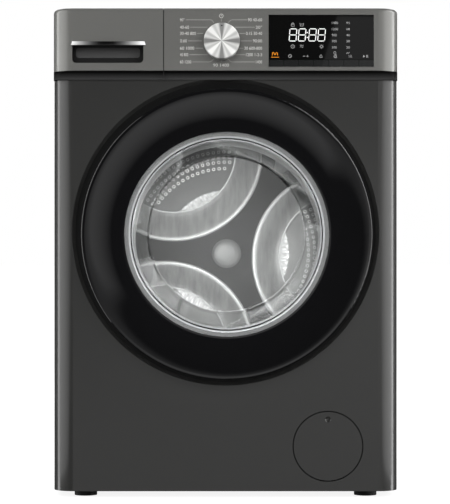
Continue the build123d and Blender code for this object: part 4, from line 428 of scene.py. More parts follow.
def lathe(shape, outline, place, steps=160):
    """Turns (radius, depth) points round the Y axis of a place into a skin with closed seams."""
    rings = []
    for radius, depth in outline:
        if radius < 1e-7:
            rings.append([shape.verts.new(place @ Vector((0, depth, 0)))])
            continue
        ring = []
        for i in range(steps):
            a = 2 * math.pi * i / steps
            ring.append(shape.verts.new(
                place @ Vector((radius * math.cos(a), depth, radius * math.sin(a)))))
        rings.append(ring)
    for near, far in zip(rings, rings[1:] + rings[:1]):
        for i in range(steps):
            j = (i + 1) % steps
            corners = [near[i % len(near)], near[j % len(near)], far[j % len(far)], far[i % len(far)]]
            unique = list(dict.fromkeys(corners))
            if len(unique) > 2:
                shape.faces.new(unique)
    bmesh.ops.recalc_face_normals(shape, faces=shape.faces)


def thickened(mesh, thickness):
    """A sheet given a thickness behind its face."""
    holder = bpy.data.objects.new("sheet", mesh)
    bpy.context.scene.collection.objects.link(holder)
    modifier = holder.modifiers.new("Thickness", "SOLIDIFY")
    modifier.thickness = thickness
    bpy.context.view_layer.update()
    made = bpy.data.meshes.new_from_object(
        holder.evaluated_get(bpy.context.evaluated_depsgraph_get()))
    bpy.data.objects.remove(holder)
    return made


def sheet(shape, rows, finish):
    """Four-sided faces between rows of points, all facing the front."""
    grid = [[shape.verts.new(p) for p in row] for row in rows]
    for near, far in zip(grid, grid[1:]):
        for i in range(len(near) - 1):
            face = shape.faces.new((near[i], near[i + 1], far[i + 1], far[i]))
            face.normal_update()
            if face.normal.y > 0:
                face.normal_flip()
            face.material_index = finish(face.calc_center_median())


def rounded(points, steps=6):
    """An open outline of (r, y, corner radius) points with its corners rounded."""
    made = []
    for i, (r, y, radius) in enumerate(points):
        here = Vector((r, y))
        if radius <= 0 or i in (0, len(points) - 1):
            made.append(here)
            continue
        before = (Vector(points[i - 1][:2]) - here).normalized()
        after = (Vector(points[i + 1][:2]) - here).normalized()
        half = before.angle(after) / 2
        reach = radius / math.tan(half)
        centre = here + (before + after).normalized() * radius / math.sin(half)
        start, end = here + before * reach, here + after * reach
        for k in range(steps + 1):
            ray = (start - centre).lerp(end - centre, k / steps)
            made.append(centre + ray.normalized() * radius)
    return [(p.x, p.y) for p in made]


def slab(shape, outline, y, thick=PRINT):
    """A thin closed plate with an (x, z) outline, its face at y and its back behind it."""
    front = [shape.verts.new((x, y, z)) for x, z in outline]
    back = [shape.verts.new((x, y + thick, z)) for x, z in outline]
    shape.faces.new(front)
    shape.faces.new(back[::-1])
    for i in range(len(outline)):
        j = (i + 1) % len(outline)
        shape.faces.new((front[i], back[i], back[j], front[j]))


def stroke(shape, points, width, y):
    """A line of even width through (x, z) points, as one closed plate."""
    left, right = [], []
    for i, p in enumerate(points):
        here = Vector(p)
        ahead = Vector(points[min(i + 1, len(points) - 1)]) - Vector(points[max(i - 1, 0)])
        side = Vector((-ahead.y, ahead.x)).normalized() * width / 2
        left.append(tuple(here + side))
        right.append(tuple(here - side))
    for i in range(len(points) - 1):
        slab(shape, [right[i], right[i + 1], left[i + 1], left[i]], y)


def circle(x, z, radius, start=0.0, end=360.0, steps=20):
    """The (x, z) points of an arc, both ends among them."""
    angles = [math.radians(start + (end - start) * i / steps) for i in range(steps + 1)]
    return [(x + radius * math.cos(a), z + radius * math.sin(a)) for a in angles]


def spot(px, py):
    """The (x, z) on the fascia's face of a pixel of the photograph."""
    return (EYE.x + (px - PIXEL_CENTRE[0]) * PIXEL, EYE.z + (PIXEL_CENTRE[1] - py) * PIXEL)


def letters(shape, text, x0, x1, z, height, y):
    """Sets figures between x0 and x1, centred on z, facing the front."""
    curve = bpy.data.curves.new("figures", "FONT")
    curve.body = text
    curve.resolution_u = 3
    curve.extrude = 0.5
    holder = bpy.data.objects.new("figures", curve)
    bpy.context.scene.collection.objects.link(holder)
    bpy.context.view_layer.update()
    mesh = bpy.data.meshes.new_from_object(
        holder.evaluated_get(bpy.context.evaluated_depsgraph_get()))
    bpy.data.objects.remove(holder)
    bpy.data.curves.remove(curve)
    xs = [v.co.x for v in mesh.vertices]
    ys = [v.co.y for v in mesh.vertices]
    across = (x1 - x0) / (max(xs) - min(xs))
    tall = height / (max(ys) - min(ys))
    for v in mesh.vertices:
        v.co = Vector((x0 + (v.co.x - min(xs)) * across, y + PRINT / 2 - v.co.z * PRINT,
                       z - height / 2 + (v.co.y - min(ys)) * tall))
    shape.from_mesh(mesh)
    bpy.data.meshes.remove(mesh)


# Node trees that grow what repeats


def new_tree(name, inputs):
    """An empty node tree with named inputs and one geometry output."""
    tree = bpy.data.node_groups.new(name, "GeometryNodeTree")
    tree.interface.new_socket("Geometry", in_out="OUTPUT", socket_type="NodeSocketGeometry")
    tree.interface.new_socket("Geometry", in_out="INPUT", socket_type="NodeSocketGeometry")
    for label, kind in inputs:
        tree.interface.new_socket(label, in_out="INPUT", socket_type=kind)
    return tree, node(tree, "NodeGroupInput"), node(tree, "NodeGroupOutput")


def grown(name, tree, values, points=()):
    """Runs a node tree on loose points and returns the plain mesh that it makes."""
    host = bpy.data.objects.new(name, bpy.data.meshes.new(name))
    host.data.from_pydata([tuple(p) for p in points], [], [])
    modifier = host.modifiers.new("Grow", "NODES")
    modifier.node_group = tree
    for item in tree.interface.items_tree:
        if item.item_type == "SOCKET" and item.in_out == "INPUT" and item.name in values:
            modifier[item.identifier] = values[item.name]
    bpy.context.scene.collection.objects.link(host)
    bpy.context.view_layer.update()
    mesh = bpy.data.meshes.new_from_object(
        host.evaluated_get(bpy.context.evaluated_depsgraph_get()))
    mesh.name = name
    host.modifiers.remove(modifier)
    bpy.data.objects.remove(host)
    return mesh


FLOAT, VECTOR, MATERIAL = "NodeSocketFloat", "NodeSocketVector", "NodeSocketMaterial"


def hole_tree():
    """Holes with rolled rims at given points, facing a way or outwards from the drum's axis."""
    tree, given, out = new_tree("Drum Holes", (
        ("Hole Radius", FLOAT), ("Facing", VECTOR), ("Outwards", VECTOR), ("Rim", MATERIAL),
        ("Dark", MATERIAL)))
    give = given.outputs
    place = node(tree, "GeometryNodeInputPosition").outputs["Position"]
    way = node(tree, "ShaderNodeVectorMath", {0: place, 1: give["Outwards"], 2: give["Facing"]},
               operation="MULTIPLY_ADD")
    turn = node(tree, "FunctionNodeAlignRotationToVector", {"Vector": way.outputs["Vector"]},
                axis="Z")
    parts = []
    # Each hole is a rim disc over a dark disc; the dark disc is painted shadow standing for the opening
    for share, lift in ((1.35, -0.0003), (0.68, -0.0005)):
        radius = node(tree, "ShaderNodeMath", {0: give["Hole Radius"], 1: share},
                      operation="MULTIPLY").outputs["Value"]
        edge = node(tree, "ShaderNodeMath", {0: radius, 1: 0.9}, operation="MULTIPLY")
        disc = node(tree, "GeometryNodeMeshCone", {
            "Vertices": 12, "Radius Top": radius, "Radius Bottom": edge.outputs["Value"],
            "Depth": 0.0006})
        parts.append(node(tree, "GeometryNodeTransform", {"Geometry": disc.outputs["Mesh"],
                                                          "Translation": (0, 0, lift)}))
    both = node(tree, "GeometryNodeJoinGeometry")
    for shape, skin in zip(parts, ("Rim", "Dark")):
        set_skin = node(tree, "GeometryNodeSetMaterial", {"Geometry": shape.outputs["Geometry"],
                                                          "Material": give[skin]})
        tree.links.new(set_skin.outputs["Geometry"], both.inputs["Geometry"])
    many = node(tree, "GeometryNodeInstanceOnPoints", {
        "Points": give["Geometry"], "Instance": both.outputs["Geometry"],
        "Rotation": turn.outputs["Rotation"]})
    real = node(tree, "GeometryNodeRealizeInstances", {"Geometry": many.outputs["Instances"]})
    tree.links.new(real.outputs["Geometry"], out.inputs["Geometry"])
    return tree


def coil_tree():
    """A round wire wound into a coil, standing at each given point."""
    tree, given, out = new_tree("Spring Coil", (
        ("Radius", FLOAT), ("Wire", FLOAT), ("Turns", FLOAT), ("Height", FLOAT),
        ("Skin", MATERIAL)))
    give = given.outputs
    line = node(tree, "GeometryNodeCurveSpiral", {
        "Resolution": 20, "Rotations": give["Turns"], "Start Radius": give["Radius"],
        "End Radius": give["Radius"], "Height": give["Height"]})
    half = node(tree, "ShaderNodeMath", {0: give["Wire"], 1: 0.5}, operation="MULTIPLY")
    round_wire = node(tree, "GeometryNodeCurvePrimitiveCircle", {
        "Resolution": 8, "Radius": half.outputs["Value"]})
    wire = node(tree, "GeometryNodeCurveToMesh", {
        "Curve": line.outputs["Curve"], "Profile Curve": round_wire.outputs["Curve"],
        "Fill Caps": True})
    many = node(tree, "GeometryNodeInstanceOnPoints", {
        "Points": give["Geometry"], "Instance": wire.outputs["Mesh"]})
    real = node(tree, "GeometryNodeRealizeInstances", {"Geometry": many.outputs["Instances"]})
    skin = node(tree, "GeometryNodeSetMaterial", {"Geometry": real.outputs["Geometry"],
                                                  "Material": give["Skin"]})
    tree.links.new(skin.outputs["Geometry"], out.inputs["Geometry"])
    return tree


def screw_tree():
    """Pan-head screws with a cross recess, facing back, one at each given point."""
    tree, given, out = new_tree("Cross Screws", (
        ("Head Radius", FLOAT), ("Head Height", FLOAT), ("Shank Radius", FLOAT),
        ("Shank Length", FLOAT), ("Skin", MATERIAL)))
    give = given.outputs
    crown = node(tree, "ShaderNodeMath", {0: give["Head Radius"], 1: 0.72}, operation="MULTIPLY")
    head = node(tree, "GeometryNodeMeshCone", {
        "Vertices": 24, "Radius Top": crown.outputs["Value"], "Radius Bottom": give["Head Radius"],
        "Depth": give["Head Height"]})
    recess = node(tree, "GeometryNodeJoinGeometry")
    for size in ((0.0009, 0.0048, 0.004), (0.0048, 0.0009, 0.004)):
        bar = node(tree, "GeometryNodeMeshCube", {"Size": size})
        tree.links.new(bar.outputs["Mesh"], recess.inputs["Geometry"])
    lift = node(tree, "ShaderNodeMath", {0: give["Head Height"], 1: 0.0008}, operation="ADD")
    raised = node(tree, "GeometryNodeTransform", {
        "Geometry": recess.outputs["Geometry"],
        "Translation": node(tree, "ShaderNodeCombineXYZ",
                            {"Z": lift.outputs["Value"]}).outputs["Vector"]})
    cut = node(tree, "GeometryNodeMeshBoolean", {
        "Mesh 1": head.outputs["Mesh"], "Mesh 2": raised.outputs["Geometry"],
        "Self Intersection": True}, operation="DIFFERENCE", solver="EXACT")
    shank = node(tree, "GeometryNodeMeshCylinder", {
        "Vertices": 12, "Radius": give["Shank Radius"], "Depth": give["Shank Length"]})
    drop = node(tree, "ShaderNodeMath", {0: give["Shank Length"], 1: -0.5}, operation="MULTIPLY")
    sunk = node(tree, "GeometryNodeTransform", {
        "Geometry": shank.outputs["Mesh"],
        "Translation": node(tree, "ShaderNodeCombineXYZ",
                            {"Z": drop.outputs["Value"]}).outputs["Vector"]})
    whole = node(tree, "GeometryNodeJoinGeometry")
    for shape in (cut.outputs["Mesh"], sunk.outputs["Geometry"]):
        tree.links.new(shape, whole.inputs["Geometry"])
    many = node(tree, "GeometryNodeInstanceOnPoints", {
        "Points": give["Geometry"], "Instance": whole.outputs["Geometry"],
        "Rotation": (-math.pi / 2, 0.4, 0)})
    real = node(tree, "GeometryNodeRealizeInstances", {"Geometry": many.outputs["Instances"]})
    skin = node(tree, "GeometryNodeSetMaterial", {"Geometry": real.outputs["Geometry"],
                                                  "Material": give["Skin"]})
    tree.links.new(skin.outputs["Geometry"], out.inputs["Geometry"])
    return tree


def folded_sleeve(shape, x, y, z0, z1, radius, fold, folds, wall):
    """A standing sleeve with rounded folds and plain cuffs at its ends."""
    cuff = 0.011
    steps = folds * 10
    outer = [(radius, z0), (radius, z0 + cuff)]
    for i in range(steps + 1):
        t = i / steps
        outer.append((radius + fold * (0.5 - 0.5 * math.cos(2 * math.pi * folds * t)),
                      z0 + cuff + (z1 - z0 - 2 * cuff) * t))
    outer += [(radius, z1 - cuff), (radius, z1)]
    inner = [(r - wall, z) for r, z in reversed(outer)]
    upright = Matrix.Translation((x, y, 0)) @ Matrix.Rotation(math.pi / 2, 4, "X")
    lathe(shape, outer + inner, upright, 48)


# Operators


class WASHER_OT_stage(bpy.types.Operator):
    """Sets the floor, the studio light and the camera"""
    bl_idname = "washer.stage"
    bl_label = "Stage"

    def execute(self, context):
        scene = context.scene
        scene.view_settings.view_transform = "Standard"
        floor = bpy.data.meshes.new("floor")
        reach = 60.0
        floor.from_pydata([(-reach, -reach, 0), (reach, -reach, 0), (reach, reach, 0),
                           (-reach, reach, 0)], [], [(0, 1, 2, 3)])
        material, tree, shader = finish_of("Pale Studio Floor", Roughness=0.9,
                                           Emission_Color=(1, 1, 1, 1))
        tint(tree, shader, grain(tree, 60.0), linear("#7C7C7C"), linear("#828282"))
        # Lamps reach only the floor near the machine, so farther off it glows a little more
        away = node(tree, "ShaderNodeVectorMath",
                    {0: node(tree, "ShaderNodeTexCoord").outputs["Object"]}, operation="LENGTH")
        level = node(tree, "ShaderNodeMapRange", {"Value": away.outputs["Value"], "From Min": 1.5,
                                                  "From Max": 5.0, "To Min": 0.88, "To Max": 1.0})
        glow = node(tree, "ShaderNodeMath", {0: shown_white(tree), 1: level.outputs["Result"]},
                    operation="MULTIPLY")
        tree.links.new(glow.outputs["Value"], shader.inputs["Emission Strength"])
        floor.materials.append(material)
        ground = self.link(bpy.data.objects.new("floor", floor))
        ground.visible_glossy = False
        self.world(scene)
        lamps = (("key", (-0.7, -2.9, 1.7), (-0.1, -0.26, 0.5), 1.8, 1.8, 66.0, False),
                 ("fill", (1.6, -2.6, 1.6), (0.1, -0.26, 0.4), 1.2, 1.2, 40.0, False),
                 ("left_strip", (-1.9, -0.04, 0.9), (0.0, -0.04, 0.6), 0.6, 2.6, 20.0, True),
                 ("right_strip", (1.9, -0.04, 0.9), (0.0, -0.04, 0.6), 0.6, 2.6, 27.0, True),
                 ("top_box", (0.0, 0.3, 2.9), (0.0, 0.3, 0.4), 2.0, 1.4, 30.0, False),
                 ("back_box", (0.0, 3.2, 1.6), (0.0, 0.2, 0.5), 2.4, 1.8, 40.0, True))
        for name, place, aim, wide, tall, power, mirrored in lamps:
            lamp = bpy.data.lights.new(name, "AREA")
            lamp.shape = "RECTANGLE"
            lamp.size, lamp.size_y = wide, tall
            lamp.energy = power
            holder = self.link(bpy.data.objects.new(name, lamp))
            holder.location = place
            holder.rotation_mode = "QUATERNION"
            holder.rotation_quaternion = (Vector(aim) - Vector(place)).to_track_quat("-Z", "Y")
            holder.visible_camera = False
            holder.visible_glossy = mirrored
        # Cards that only mirrors see, close to the display and the cabinet's corners
        y = -0.55
        self.card("display_card", [(0.1792, y, 0.769), (0.3007, y, 0.769), (0.3007, y, 0.8615),
                                   (0.2072, y, 0.8615)], "X", 0.0, 1.0, 0.0, 0.3)
        for name, x, level in (("left_card", -0.60, 1.85), ("right_card", 0.60, 2.2)):
            self.card(name, [(x, -0.80, 0.0), (x, -0.24, 0.0), (x, -0.24, 1.3), (x, -0.80, 1.3)],
                      "Y", -0.82, 0.58, 0.35, level)
        snoot = bpy.data.lights.new("drum_snoot", "SPOT")
        snoot.energy = 1500.0
        snoot.spot_size = math.radians(5.6)
        snoot.spot_blend = 0.35
        snoot.shadow_soft_size = 0.15
        holder = self.link(bpy.data.objects.new("drum_snoot", snoot))
        holder.location = (0.0, -4.0, 0.60)
        holder.rotation_mode = "QUATERNION"
        aim = Vector((DOOR_X, -0.2, DOOR_Z)) - holder.location
        holder.rotation_quaternion = aim.to_track_quat("-Z", "Y")
        holder.visible_glossy = False
        holder.visible_transmission = False
        view = bpy.data.cameras.new("camera")
        view.sensor_fit = "HORIZONTAL"
        view.sensor_width = 36.0
        view.lens = view.sensor_width / 2 / math.tan(VIEW_ANGLE / 2)
        view.clip_end = 200.0
        eye = self.link(bpy.data.objects.new("camera", view))
        eye.location = EYE
        eye.rotation_euler = (math.pi / 2, 0, 0)
        scene.camera = eye
        return {"FINISHED"}

    def link(self, made):
        bpy.context.scene.collection.objects.link(made)
        return made

    def card(self, name, corners, axis, dark, reach, power, level):
        """A card that only mirrors see, dark at one place along an axis and brighter away from it."""
        mesh = bpy.data.meshes.new(name)
        mesh.from_pydata(corners, [], [(0, 1, 2, 3)])
        material, tree, shader = finish_of(f"White Card {name}", Base_Color=(0, 0, 0),
                                           Emission_Color=(1, 1, 1, 1))
        place = node(tree, "ShaderNodeTexCoord").outputs["Object"]
        along = node(tree, "ShaderNodeSeparateXYZ", {"Vector": place}).outputs[axis]
        value = along
        for operation, number in (("SUBTRACT", dark), ("ABSOLUTE", 0.0), ("DIVIDE", reach),
                                  ("POWER", power), ("MULTIPLY", level)):
            value = node(tree, "ShaderNodeMath", {0: value, 1: number},
                         operation=operation).outputs["Value"]
        tree.links.new(value, shader.inputs["Emission Strength"])
        mesh.materials.append(material)
        made = self.link(bpy.data.objects.new(name, mesh))
        made.visible_camera = made.visible_diffuse = made.visible_transmission = False
        made.visible_shadow = False

    def world(self, scene):
        """White to the camera, an even grey to dull surfaces, and a dim room to mirrors."""
        world = bpy.data.worlds.new("studio")
        world.use_nodes = True
        tree = world.node_tree
        tree.nodes.clear()
        place = node(tree, "ShaderNodeTexCoord").outputs["Generated"]
        axes = node(tree, "ShaderNodeSeparateXYZ", {"Vector": place})
        # Mirrors find a dim room, and a pale wall low on the right that fades to the side
        rear = node(tree, "ShaderNodeMapRange", {"Value": axes.outputs["Y"], "From Min": 0.8,
                                                 "From Max": 0.95, "To Min": 0.05, "To Max": 0.2})
        slant = node(tree, "ShaderNodeVectorMath", {0: place, 1: (0.5, 0.0, -0.86)},
                     operation="DOT_PRODUCT")
        low = node(tree, "ShaderNodeMapRange", {"Value": slant.outputs["Value"], "From Min": -0.05,
                                                "From Max": 0.05, "To Min": 0.0, "To Max": 0.6},
                   interpolation_type="SMOOTHSTEP")
        ahead = node(tree, "ShaderNodeMapRange", {"Value": axes.outputs["Y"], "From Min": -1.0,
                                                  "From Max": -0.80, "To Min": 1.0, "To Max": 0.0})
        level = node(tree, "ShaderNodeMath", {0: low.outputs["Result"], 1: ahead.outputs["Result"],
                                              2: rear.outputs["Result"]}, operation="MULTIPLY_ADD")
        path = node(tree, "ShaderNodeLightPath")
        soft = node(tree, "ShaderNodeMix", {"Factor": path.outputs["Is Diffuse Ray"],
                                            "A": level.outputs["Value"], "B": 0.18},
                    data_type="FLOAT")
        straight = node(tree, "ShaderNodeMath", {0: path.outputs["Is Camera Ray"],
                                                 1: path.outputs["Is Transmission Ray"]},
                        operation="MAXIMUM")
        seen = node(tree, "ShaderNodeMix", {"Factor": straight.outputs["Value"],
                                            "A": soft.outputs["Result"], "B": 1.0},
                    data_type="FLOAT")
        back = node(tree, "ShaderNodeBackground", {"Color": (1, 1, 1, 1),
                                                   "Strength": seen.outputs["Result"]})
        node(tree, "ShaderNodeOutputWorld", {"Surface": back.outputs["Background"]})
        scene.world = world


class WASHER_OT_cabinet(bpy.types.Operator):
    """Finishes the cabinet, its back and its feet"""
    bl_idname = "washer.cabinet"
    bl_label = "Cabinet"

    def execute(self, context):
        paint = enamel("Silver Grey Enamel", colours().body)
        for name in ("side_panels", "rear_panel", "rear_service_cover", "front_panel"):
            cad(name, paint)
        # A thin black ring of painted shadow on the floor of the door's recess, in the gap round the
        # door
        shape = bmesh.new()
        lathe(shape, [(0.2452, PANEL_Y + 0.0086), (0.2612, PANEL_Y + 0.0086),
                      (0.2612, PANEL_Y + 0.0089), (0.2452, PANEL_Y + 0.0089)],
              Matrix.Translation((0.0, 0, RECESS_Z)))
        piece("recess_shadow_ring", mesh_from("recess_shadow_ring", shape),
              [moulded("Recess Painted Shadow", linear("#050505"), 0.6)], "cabinet")
        cad("top_cover", laminate("Grey Laminate", linear("#4A4A49")))
        cad("service_flap", enamel("Painted ABS Flap", colours().body))
        base = moulded("Black Polypropylene", linear("#1B1B1B"), 0.6)
        for name in ("base_tray", "flap_bezel", "door_lock", "damper_cylinders", "mains_gland",
                     "transit_bolt_caps"):
            cad(name, base)
        foot = rubber("Black Foot Rubber", linear("#1E1E1E"))
        for place in ("front_left", "front_right", "rear_left", "rear_right"):
            cad(f"foot_{place}", foot)
        self.fasteners()
        return {"FINISHED"}

    def fasteners(self):
        """Cross-head screws in the back, and the hexagon nuts that lock the feet."""
        zinc = metal("Zinc Plated Steel", linear("#A9A9A2"), 0.35)
        places = [(s * 0.182, REAR_Y + 0.001, z) for s in (-1, 1) for z in (0.304, 0.420, 0.536)]
        places += [(0.0, REAR_Y + 0.001, 0.188), (0.0, REAR_Y + 0.001, 0.652)]
        places += [(s * 0.1935, REAR_Y, 0.8315) for s in (-1, 1)]
        screws = grown("screws", screw_tree(), {
            "Head Radius": 0.0045, "Head Height": 0.0025, "Shank Radius": 0.0019,
            "Shank Length": 0.009, "Skin": zinc}, places)
        shape = bmesh.new()
        low, high = 0.0098, NUT_TOP
        outline = [(0.0060, low), (0.0088, low), (0.0095, low + 0.0007), (0.0095, high - 0.0007),
                   (0.0088, high), (0.0060, high)]
        for x in (-FOOT_X, FOOT_X):
            for y in FOOT_DEPTHS:
                lathe(shape, outline, Matrix.Translation((x, y, 0))
                      @ Matrix.Rotation(math.pi / 2, 4, "X"), 6)
        shape.from_mesh(screws)
        bpy.data.meshes.remove(screws)
        piece("screws_and_nuts", mesh_from("screws_and_nuts", shape), [zinc], "cabinet",
              ["cabinet_fasteners"])


class WASHER_OT_fascia(bpy.types.Operator):
    """Finishes the fascia, the drawer and its bright bar"""
    bl_idname = "washer.fascia"
    bl_label = "Fascia and Drawer"

    def execute(self, context):
        paint = self.cove_painted_shade(enamel("Silver Painted ABS", colours().fascia))
        for name in ("control_fascia", "drawer_front"):
            cad(name, paint)
        # Painted shade for the inside of the finger pocket
        dark = moulded("Pocket Painted Shade", linear("#161616"), 0.5, 1.0, 0.01)
        self.pocket(dark)
        # A black strip of painted shadow along the seam between the drawer front and the fascia
        shape = bmesh.new()
        slab(shape, [(-0.10735, 0.722), (-0.10595, 0.722), (-0.10595, 0.8405), (-0.10735, 0.8405)],
             FASCIA_Y - 0.0002, 0.0030)
        piece("drawer_seam_shadow", mesh_from("drawer_seam_shadow", shape), [rubber("Seam Painted Shadow", linear("#0C0C0C"))],
              "cabinet")
        # The bar's light and dark run is a painted reflection in its finish
        shape = bmesh.new()
        slab(shape, [(-0.2659, 0.7804), (-0.1373, 0.7804), (-0.1394, 0.7868), (-0.2638, 0.7868)],
             FASCIA_Y - 0.0050, 0.0050)
        nose = [edge for edge in shape.edges if all(v.co.y < FASCIA_Y - 0.004 for v in edge.verts)]
        bmesh.ops.bevel(shape, geom=nose, offset=0.0006, segments=3, profile=0.5, affect="EDGES")
        piece("bright_bar", mesh_from("bright_bar", shape, 20),
              [chrome_painted_reflection("Chrome Painted Reflection", linear("#FAFAFA"), BAR_PAINTED_DARK_X, BAR_PAINTED_REACH)],
              "drawer", ["drawer_grip"])
        white = moulded("White Polypropylene", linear("#D6D6D2"), 0.4)
        for name in ("drawer_tray", "dispenser_housing", "inlet_valve", "filter_plug"):
            cad(name, white)
        cad("control_board", circuit_board("Green Circuit Board", linear("#0F4A26")))
        return {"FINISHED"}

    def cove_painted_shade(self, material):
        """Paints shade into the hollow under the fascia: black right under its lip and paler towards
        its foot, with its sheen taken off.
        """
        tree = material.node_tree
        shader = tree.nodes["Principled BSDF"]
        place = node(tree, "ShaderNodeTexCoord").outputs["Object"]
        height = node(tree, "ShaderNodeSeparateXYZ", {"Vector": place}).outputs["Z"]
        above = node(tree, "ShaderNodeMapRange", {"Value": height, "From Min": COVE_TOP - 0.0008,
                                                  "From Max": COVE_TOP - 0.0003}).outputs["Result"]
        # Painted shade, darkest where the fascia overhangs the hollow
        level = node(tree, "ShaderNodeMapRange", {"Value": height, "From Min": COVE_TOP - 0.015,
                                                  "From Max": COVE_TOP - 0.002, "To Min": 0.040,
                                                  "To Max": 0.004}).outputs["Result"]
        painted = shader.inputs["Base Color"].links[0].from_socket
        mixed = node(tree, "ShaderNodeMix", {"Factor": above, "A": level, "B": painted},
                     data_type="RGBA")
        tree.links.new(mixed.outputs["Result"], shader.inputs["Base Color"])
        # The painted shade also takes the metal, coat and sheen out of the hollow
        for name in ("Metallic", "Coat Weight", "Specular IOR Level"):
            share = node(tree, "ShaderNodeMath", {0: above, 1: shader.inputs[name].default_value},
                         operation="MULTIPLY")
            tree.links.new(share.outputs["Value"], shader.inputs[name])
        return material

    def pocket(self, dark):
        """Paints shade into the finger pocket in the drawer's front: its faces black, and a dark grey
        panel set at its back, less shaded than its sides.
        """
        shape = bmesh.new()
        corners = []
        for x, z, start in ((-0.1534, 0.7734, 0), (-0.2544, 0.7734, 90), (-0.2544, 0.7661, 180),
                            (-0.1534, 0.7661, 270)):
            corners += circle(x, z, 0.005, start, start + 90, 6)
        slab(shape, corners[::-1], POCKET_Y - 0.0004, 0.0004)
        piece("pocket_shaded_back", mesh_from("pocket_shaded_back", shape),
              [moulded("Pocket Back Painted Shade", linear("#424242"), 0.4)], "drawer")
        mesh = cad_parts["drawer_front"].data
        mesh.materials.append(dark)
        for face in mesh.polygons:
            x, y, z = face.center
            if -0.2645 < x < -0.141 and y > FASCIA_Y + 0.0003 and 0.7495 < z < 0.7945:
                face.material_index = len(mesh.materials) - 1


class WASHER_OT_legend(bpy.types.Operator):
    """Prints plain figures and leader lines round the knob"""
    bl_idname = "washer.legend"
    bl_label = "Knob Legend"

    def execute(self, context):
        text, lines = bmesh.new(), bmesh.new()
        y = FASCIA_Y - PRINT
        left = (("90°", 184.5, 210.7), ("40-60", 189.0, 207.6), ("30-40 800", 195.9, 203.1),
                ("30 600", 186.7, 201.8), ("60 1000", 194.2, 203.1), ("40 800", 188.2, 207.6),
                ("60 1200", 191.2, 209.0))
        right = (("90 40-60", 247.9, 232.3), ("20°", 255.7, 234.8), ("0:15 30-40", 245.9, 239.3),
                 ("90:00", 252.9, 240.6), ("30 600-800", 244.3, 239.3), ("1200 1-2-3", 246.0, 234.5),
                 ("1400", 255.9, 232.0))
        tall = 3.1 * PIXEL
        for row, (figures, end, reach) in zip(LEGEND_ROWS, left):
            letters(text, figures, spot(180.0, row)[0], spot(end, row)[0], spot(0, row)[1], tall, y)
            self.leader(lines, row, end + 1.2, reach, 213.8, y)
        for row, (figures, start, reach) in zip(LEGEND_ROWS, right):
            letters(text, figures, spot(start, row)[0], spot(262.0, row)[0], spot(0, row)[1], tall, y)
            self.leader(lines, row, start - 1.0, reach, 228.1, y)
        x, z = spot(221.3, 16.0)
        width = sizes().line
        stroke(text, circle(x, z, 1.9 * PIXEL), width, y)
        stroke(text, [(x, z + 0.9 * PIXEL), (x, z - 0.4 * PIXEL)], width, y)
        stroke(lines, [spot(221.3, 19.2), spot(221.3, 21.6)], width, y)
        stroke(lines, [spot(221.3, 60.2), spot(221.3, 61.6)], width, y)
        letters(text, "90 1400", spot(213.2, 65)[0], spot(228.9, 65)[0], spot(0, 65.2)[1], tall, y)
        piece("knob_legend", mesh_from("knob_legend", text),
              [ink("White Screen Ink", colours().legend)], "cabinet")
        piece("knob_leaders", mesh_from("knob_leaders", lines),
              [ink("Grey Screen Ink", shaded(colours().legend, 0.6))], "cabinet")
        return {"FINISHED"}

    def leader(self, shape, row, start, reach, elbow, y):
        """A line from the figures to the knob, bent towards it in the outer rows."""
        points = [spot(start, row), spot(reach, row)]
        if row in (LEGEND_ROWS[0], LEGEND_ROWS[-1]):
            drop = 3.0 if row == LEGEND_ROWS[0] else -3.2
            for part in (0.35, 0.7, 1.0):
                points.append(spot(reach + (elbow - reach) * part, row + drop * part ** 2))
        stroke(shape, points, sizes().line, y)


